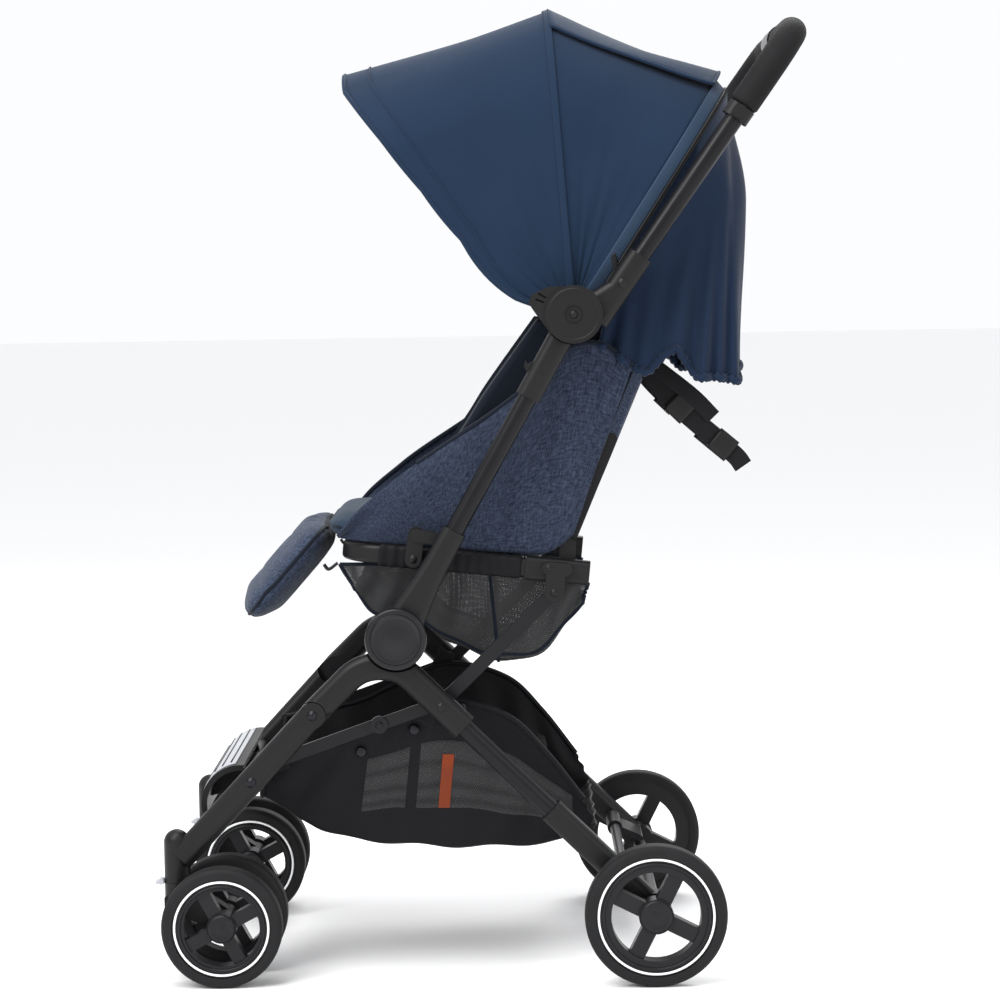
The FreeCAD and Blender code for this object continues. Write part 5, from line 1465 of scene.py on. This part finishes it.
@dataclass
class Trims:
    """Hub discs, hinge rings, snap buttons and the grip's skin."""

    grip_angle: float = 54.8
    grip_reach: float = 0.367
    grip_offset: float = 0.023
    bend: float = 0.062

    def hubs(self) -> None:
        """Raised rim and plain centre boss on each hub disc, and a ring on each hinge cover."""
        for side, sign in (("left", 1), ("right", -1)):
            c = (sign * 0.2209, *HUB)
            disc = turned(c, sign, [(-0.001, 0.0262), (0.0004, 0.0262), (0.0010, 0.0250), (0.0004, 0.0238),
                                    (-0.0002, 0.0200), (0.0006, 0.0120), (0.0009, 0.0004)], 96)
            tell(dress(add_surface(f"hub_disc_{side}", disc), Finish.CAP_PLASTIC, "cap_plastic"), "chassis")
            c = (sign * 0.2206, *HINGE)
            ring = turned(c, sign, [(-0.001, 0.0272), (0.0004, 0.0268), (0.0005, 0.0250), (-0.0006, 0.0244)],
                          96)
            ring_piece = add_surface(f"hinge_ring_{side}", ring)
            tell(dress(ring_piece, Finish.BLACK_PLASTIC, "black_plastic"), "canopy")

    def snaps(self) -> None:
        """Snap fasteners and rivets on the basket's straps."""
        discs = []
        for sign in (1, -1):
            for p, r in (((-0.128, 0.2335), 0.0055), ((-0.072, 0.2560), 0.0055), ((-0.022, 0.2790), 0.0052)):
                face = [(-0.001, r), (0.0014, r), (0.0024, r * 0.8), (0.0026, r * 0.4), (0.0026, 0.0003)]
                discs.append(turned((sign * 0.1578, *p), sign, face, 32))
        piece = dress(join_surfaces("basket_snaps", discs), Finish.RIVET_STEEL, "rivet_steel")
        Storage().fold(piece)

    def grip(self) -> None:
        """Foam skin along the U of the handle: a round section, fuller between its rolled ends."""
        def place(x: float, short: float) -> tuple[float, float, float]:
            """Point of the U at an x, short of the top."""
            return (x, *along(HINGE, self.grip_angle, self.grip_reach - short, -self.grip_offset))

        turn = [place(FRAME_X - self.bend * (1 - math.cos(t)), self.bend * (1 - math.sin(t)))
                for t in np.linspace(0, math.pi / 2, 9)]
        route = [place(FRAME_X, 0.0955), *turn, place(0.0385, 0)]
        t = np.linspace(0, 1, 150)
        full = 1 + 0.02 * np.sin(t * math.pi)
        full = full - 0.14 * np.exp(-(t / 0.008) ** 2) - 0.14 * np.exp(-((1 - t) / 0.008) ** 2)
        skins = []
        for sign in (1, -1):
            path = resample([(sign * x, y, z) for x, y, z in route], 150)
            run = profile_run(path, ring_profile(0.0153, 28), (0.02, -0.6, 0.8))
            run.points[:] = path[:, None] + (run.points - path[:, None]) * full[:, None, None]
            skins.append(run)
        piece = dress(join_surfaces("grip_skin", skins), Finish.GRIP_FOAM, "grip_foam")
        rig.replaces(piece, "foam_grip")
        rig.padded(piece, 0.9)
        tell(piece, "handle")

    def tread(self) -> None:
        """Silver tread plate on the step: an arc about the step's middle, with dark bars."""
        c, r = (-0.2563, 0.1774), 0.0418
        angle = np.radians(np.linspace(98, 168, 40))
        path = np.stack([0 * angle, c[0] + r * np.cos(angle), c[1] + r * np.sin(angle)], 1)
        plate = np.repeat(path[:, None], 9, 1)
        plate[..., 0] = np.linspace(-0.128, 0.128, 9)
        piece = thicken(add_surface("step_tread", Surface(plate[:, ::-1])), 0.0012)
        tell(dress(piece, Finish.SILVER_PLASTIC, "silver_plastic"), "front_legs")
        bars = []
        for a in np.radians(np.linspace(106, 160, 5)):
            y, z = c[0] + (r + 0.0008) * math.cos(a), c[1] + (r + 0.0008) * math.sin(a)
            run = resample([(-0.118, y, z), (0.118, y, z)], 12)
            bars.append(profile_run(run, strap_profile(0.0012, 0.0018), (0, math.cos(a), math.sin(a))))
        ribs = join_surfaces("step_tread_bars", bars)
        tell(dress(ribs, Finish.BLACK_PLASTIC, "black_plastic"), "front_legs")

    def build(self) -> None:
        """Makes every trim."""
        self.hubs()
        self.snaps()
        self.grip()
        self.tread()


# ---- carried-over parts ----
@dataclass(frozen=True)
class Carried:
    """Frame parts that keep their own shape and get a finish."""

    finishes: dict = field(default_factory=lambda: {
        "black_plastic": Finish.BLACK_PLASTIC, "black_paint": Finish.BLACK_PAINT,
        "cap_plastic": Finish.CAP_PLASTIC,
        "silver_plastic": Finish.SILVER_PLASTIC, "buckle_button_plastic": Finish.BUTTON_PLASTIC,
        "wheel_plastic": Finish.WHEEL_PLASTIC, "tyre": Finish.TYRE, "dark_steel": Finish.DARK_STEEL,
        "rivet_steel": Finish.RIVET_STEEL, "grip_foam": Finish.GRIP_FOAM})

    def dress(self, frame: dict) -> None:
        """Gives each shown node its finish."""
        slots = {s["node"]: s["material_slot"] for s in frame["record"]["subparts"]}
        for name, piece in frame["nodes"].items():
            finish = self.finishes.get(slots[name])
            if finish is None:
                continue
            piece.data.materials.clear()
            piece.data.materials.append(finish.material())
            cells = piece.data.polygons
            cells.foreach_set("material_index", np.zeros(len(cells), np.int32))


# ---- studio ----
@dataclass(frozen=True)
class Studio:
    """Pale floor, soft lights and the camera."""

    lens: float = 109.13
    place: tuple[float, float, float] = (3.3009, 0.0332, 0.7176)
    yaw: float = 0.0043
    pitch: float = 0.0706
    roll: float = -0.0159

    def camera(self) -> None:
        """Camera at the left side, looking along -X and a little down."""
        data = bpy.data.cameras.new("camera")
        data.lens, data.sensor_width, data.clip_end = self.lens, 36.0, 50.0
        body = bpy.data.objects.new("camera", data)
        cy, sy, cp, sp = math.cos(self.yaw), math.sin(self.yaw), math.cos(self.pitch), math.sin(self.pitch)
        cr, sr = math.cos(self.roll), math.sin(self.roll)
        ahead, right, up = np.array([-cy, -sy, 0]), np.array([-sy, cy, 0]), np.array([0, 0, 1.0])
        look, top = ahead * cp - up * sp, up * cp + ahead * sp
        x, y = right * cr + top * sr, top * cr - right * sr
        rows = np.eye(4)
        rows[:3, 0], rows[:3, 1], rows[:3, 2], rows[:3, 3] = x, y, -look, self.place
        body.matrix_world = Matrix(rows.tolist())
        bpy.context.scene.collection.objects.link(body)
        bpy.context.scene.camera = body

    def lamp(self, name: str, place: Sequence[float], size: float, power: float) -> None:
        """Square soft light aimed at the middle of the stroller."""
        data = bpy.data.lights.new(name, "AREA")
        data.size, data.energy = size, power
        body = bpy.data.objects.new(name, data)
        body.location = place
        aim = Vector((0, 0, 0.5)) - body.location
        body.rotation_euler = aim.to_track_quat("-Z", "Y").to_euler()
        bpy.context.scene.collection.objects.link(body)

    def build(self) -> None:
        """Sets the camera, the floor, the surroundings and four lights."""
        self.camera()
        corners = np.array([(-40, -40, 0), (40, -40, 0), (40, 40, 0), (-40, 40, 0)], float)
        floor = add_piece("floor", corners, [[0, 1, 2, 3]])
        s = Shader("floor_paint")
        s.set(Base_Color=(0.93, 0.93, 0.93, 1.0), Roughness=0.9)
        floor.data.materials.append(s.material)
        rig.stage(floor)
        world = bpy.data.worlds.new("studio")
        world.use_nodes = True
        sky = world.node_tree.nodes["Background"]
        sky.inputs[0].default_value, sky.inputs[1].default_value = (0.98, 0.985, 1.0, 1.0), 1.0
        bpy.context.scene.world = world
        self.lamp("key", (2.2, -1.6, 2.6), 1.6, 70.0)
        self.lamp("fill", (2.4, 2.2, 1.2), 2.0, 18.0)
        self.lamp("rim", (-2.0, 0.6, 2.4), 1.6, 50.0)
        self.lamp("top", (0.9, -0.5, 3.0), 1.2, 45.0)
        bpy.context.scene.view_settings.view_transform = "Standard"


def write_size(cad: Sequence[object], path: str = "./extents.json") -> None:
    """Writes the frame's box and the finished model's box."""
    boxes = {"cad": cad, "visual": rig.bounds()}
    with open(path, "w") as f:
        json.dump({name: [list(map(float, c)) for c in box] for name, box in boxes.items()}, f)


def main() -> None:
    """Loads the frame and builds every group in order."""
    logging.basicConfig(level=logging.INFO, format="%(message)s")
    for old in list(bpy.data.objects):
        bpy.data.objects.remove(old)
    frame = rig.load()
    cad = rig.bounds()
    Studio().build()
    Carried().dress(frame)
    makers: tuple[Callable[[], None], ...] = (
        Canopy().build, Curtain().build, Seat().build, Storage().basket, Storage().pocket,
        Running().build, Trims().build)
    for make in makers:
        make()
    write_size(cad)


if __name__ == "__main__":
    main()
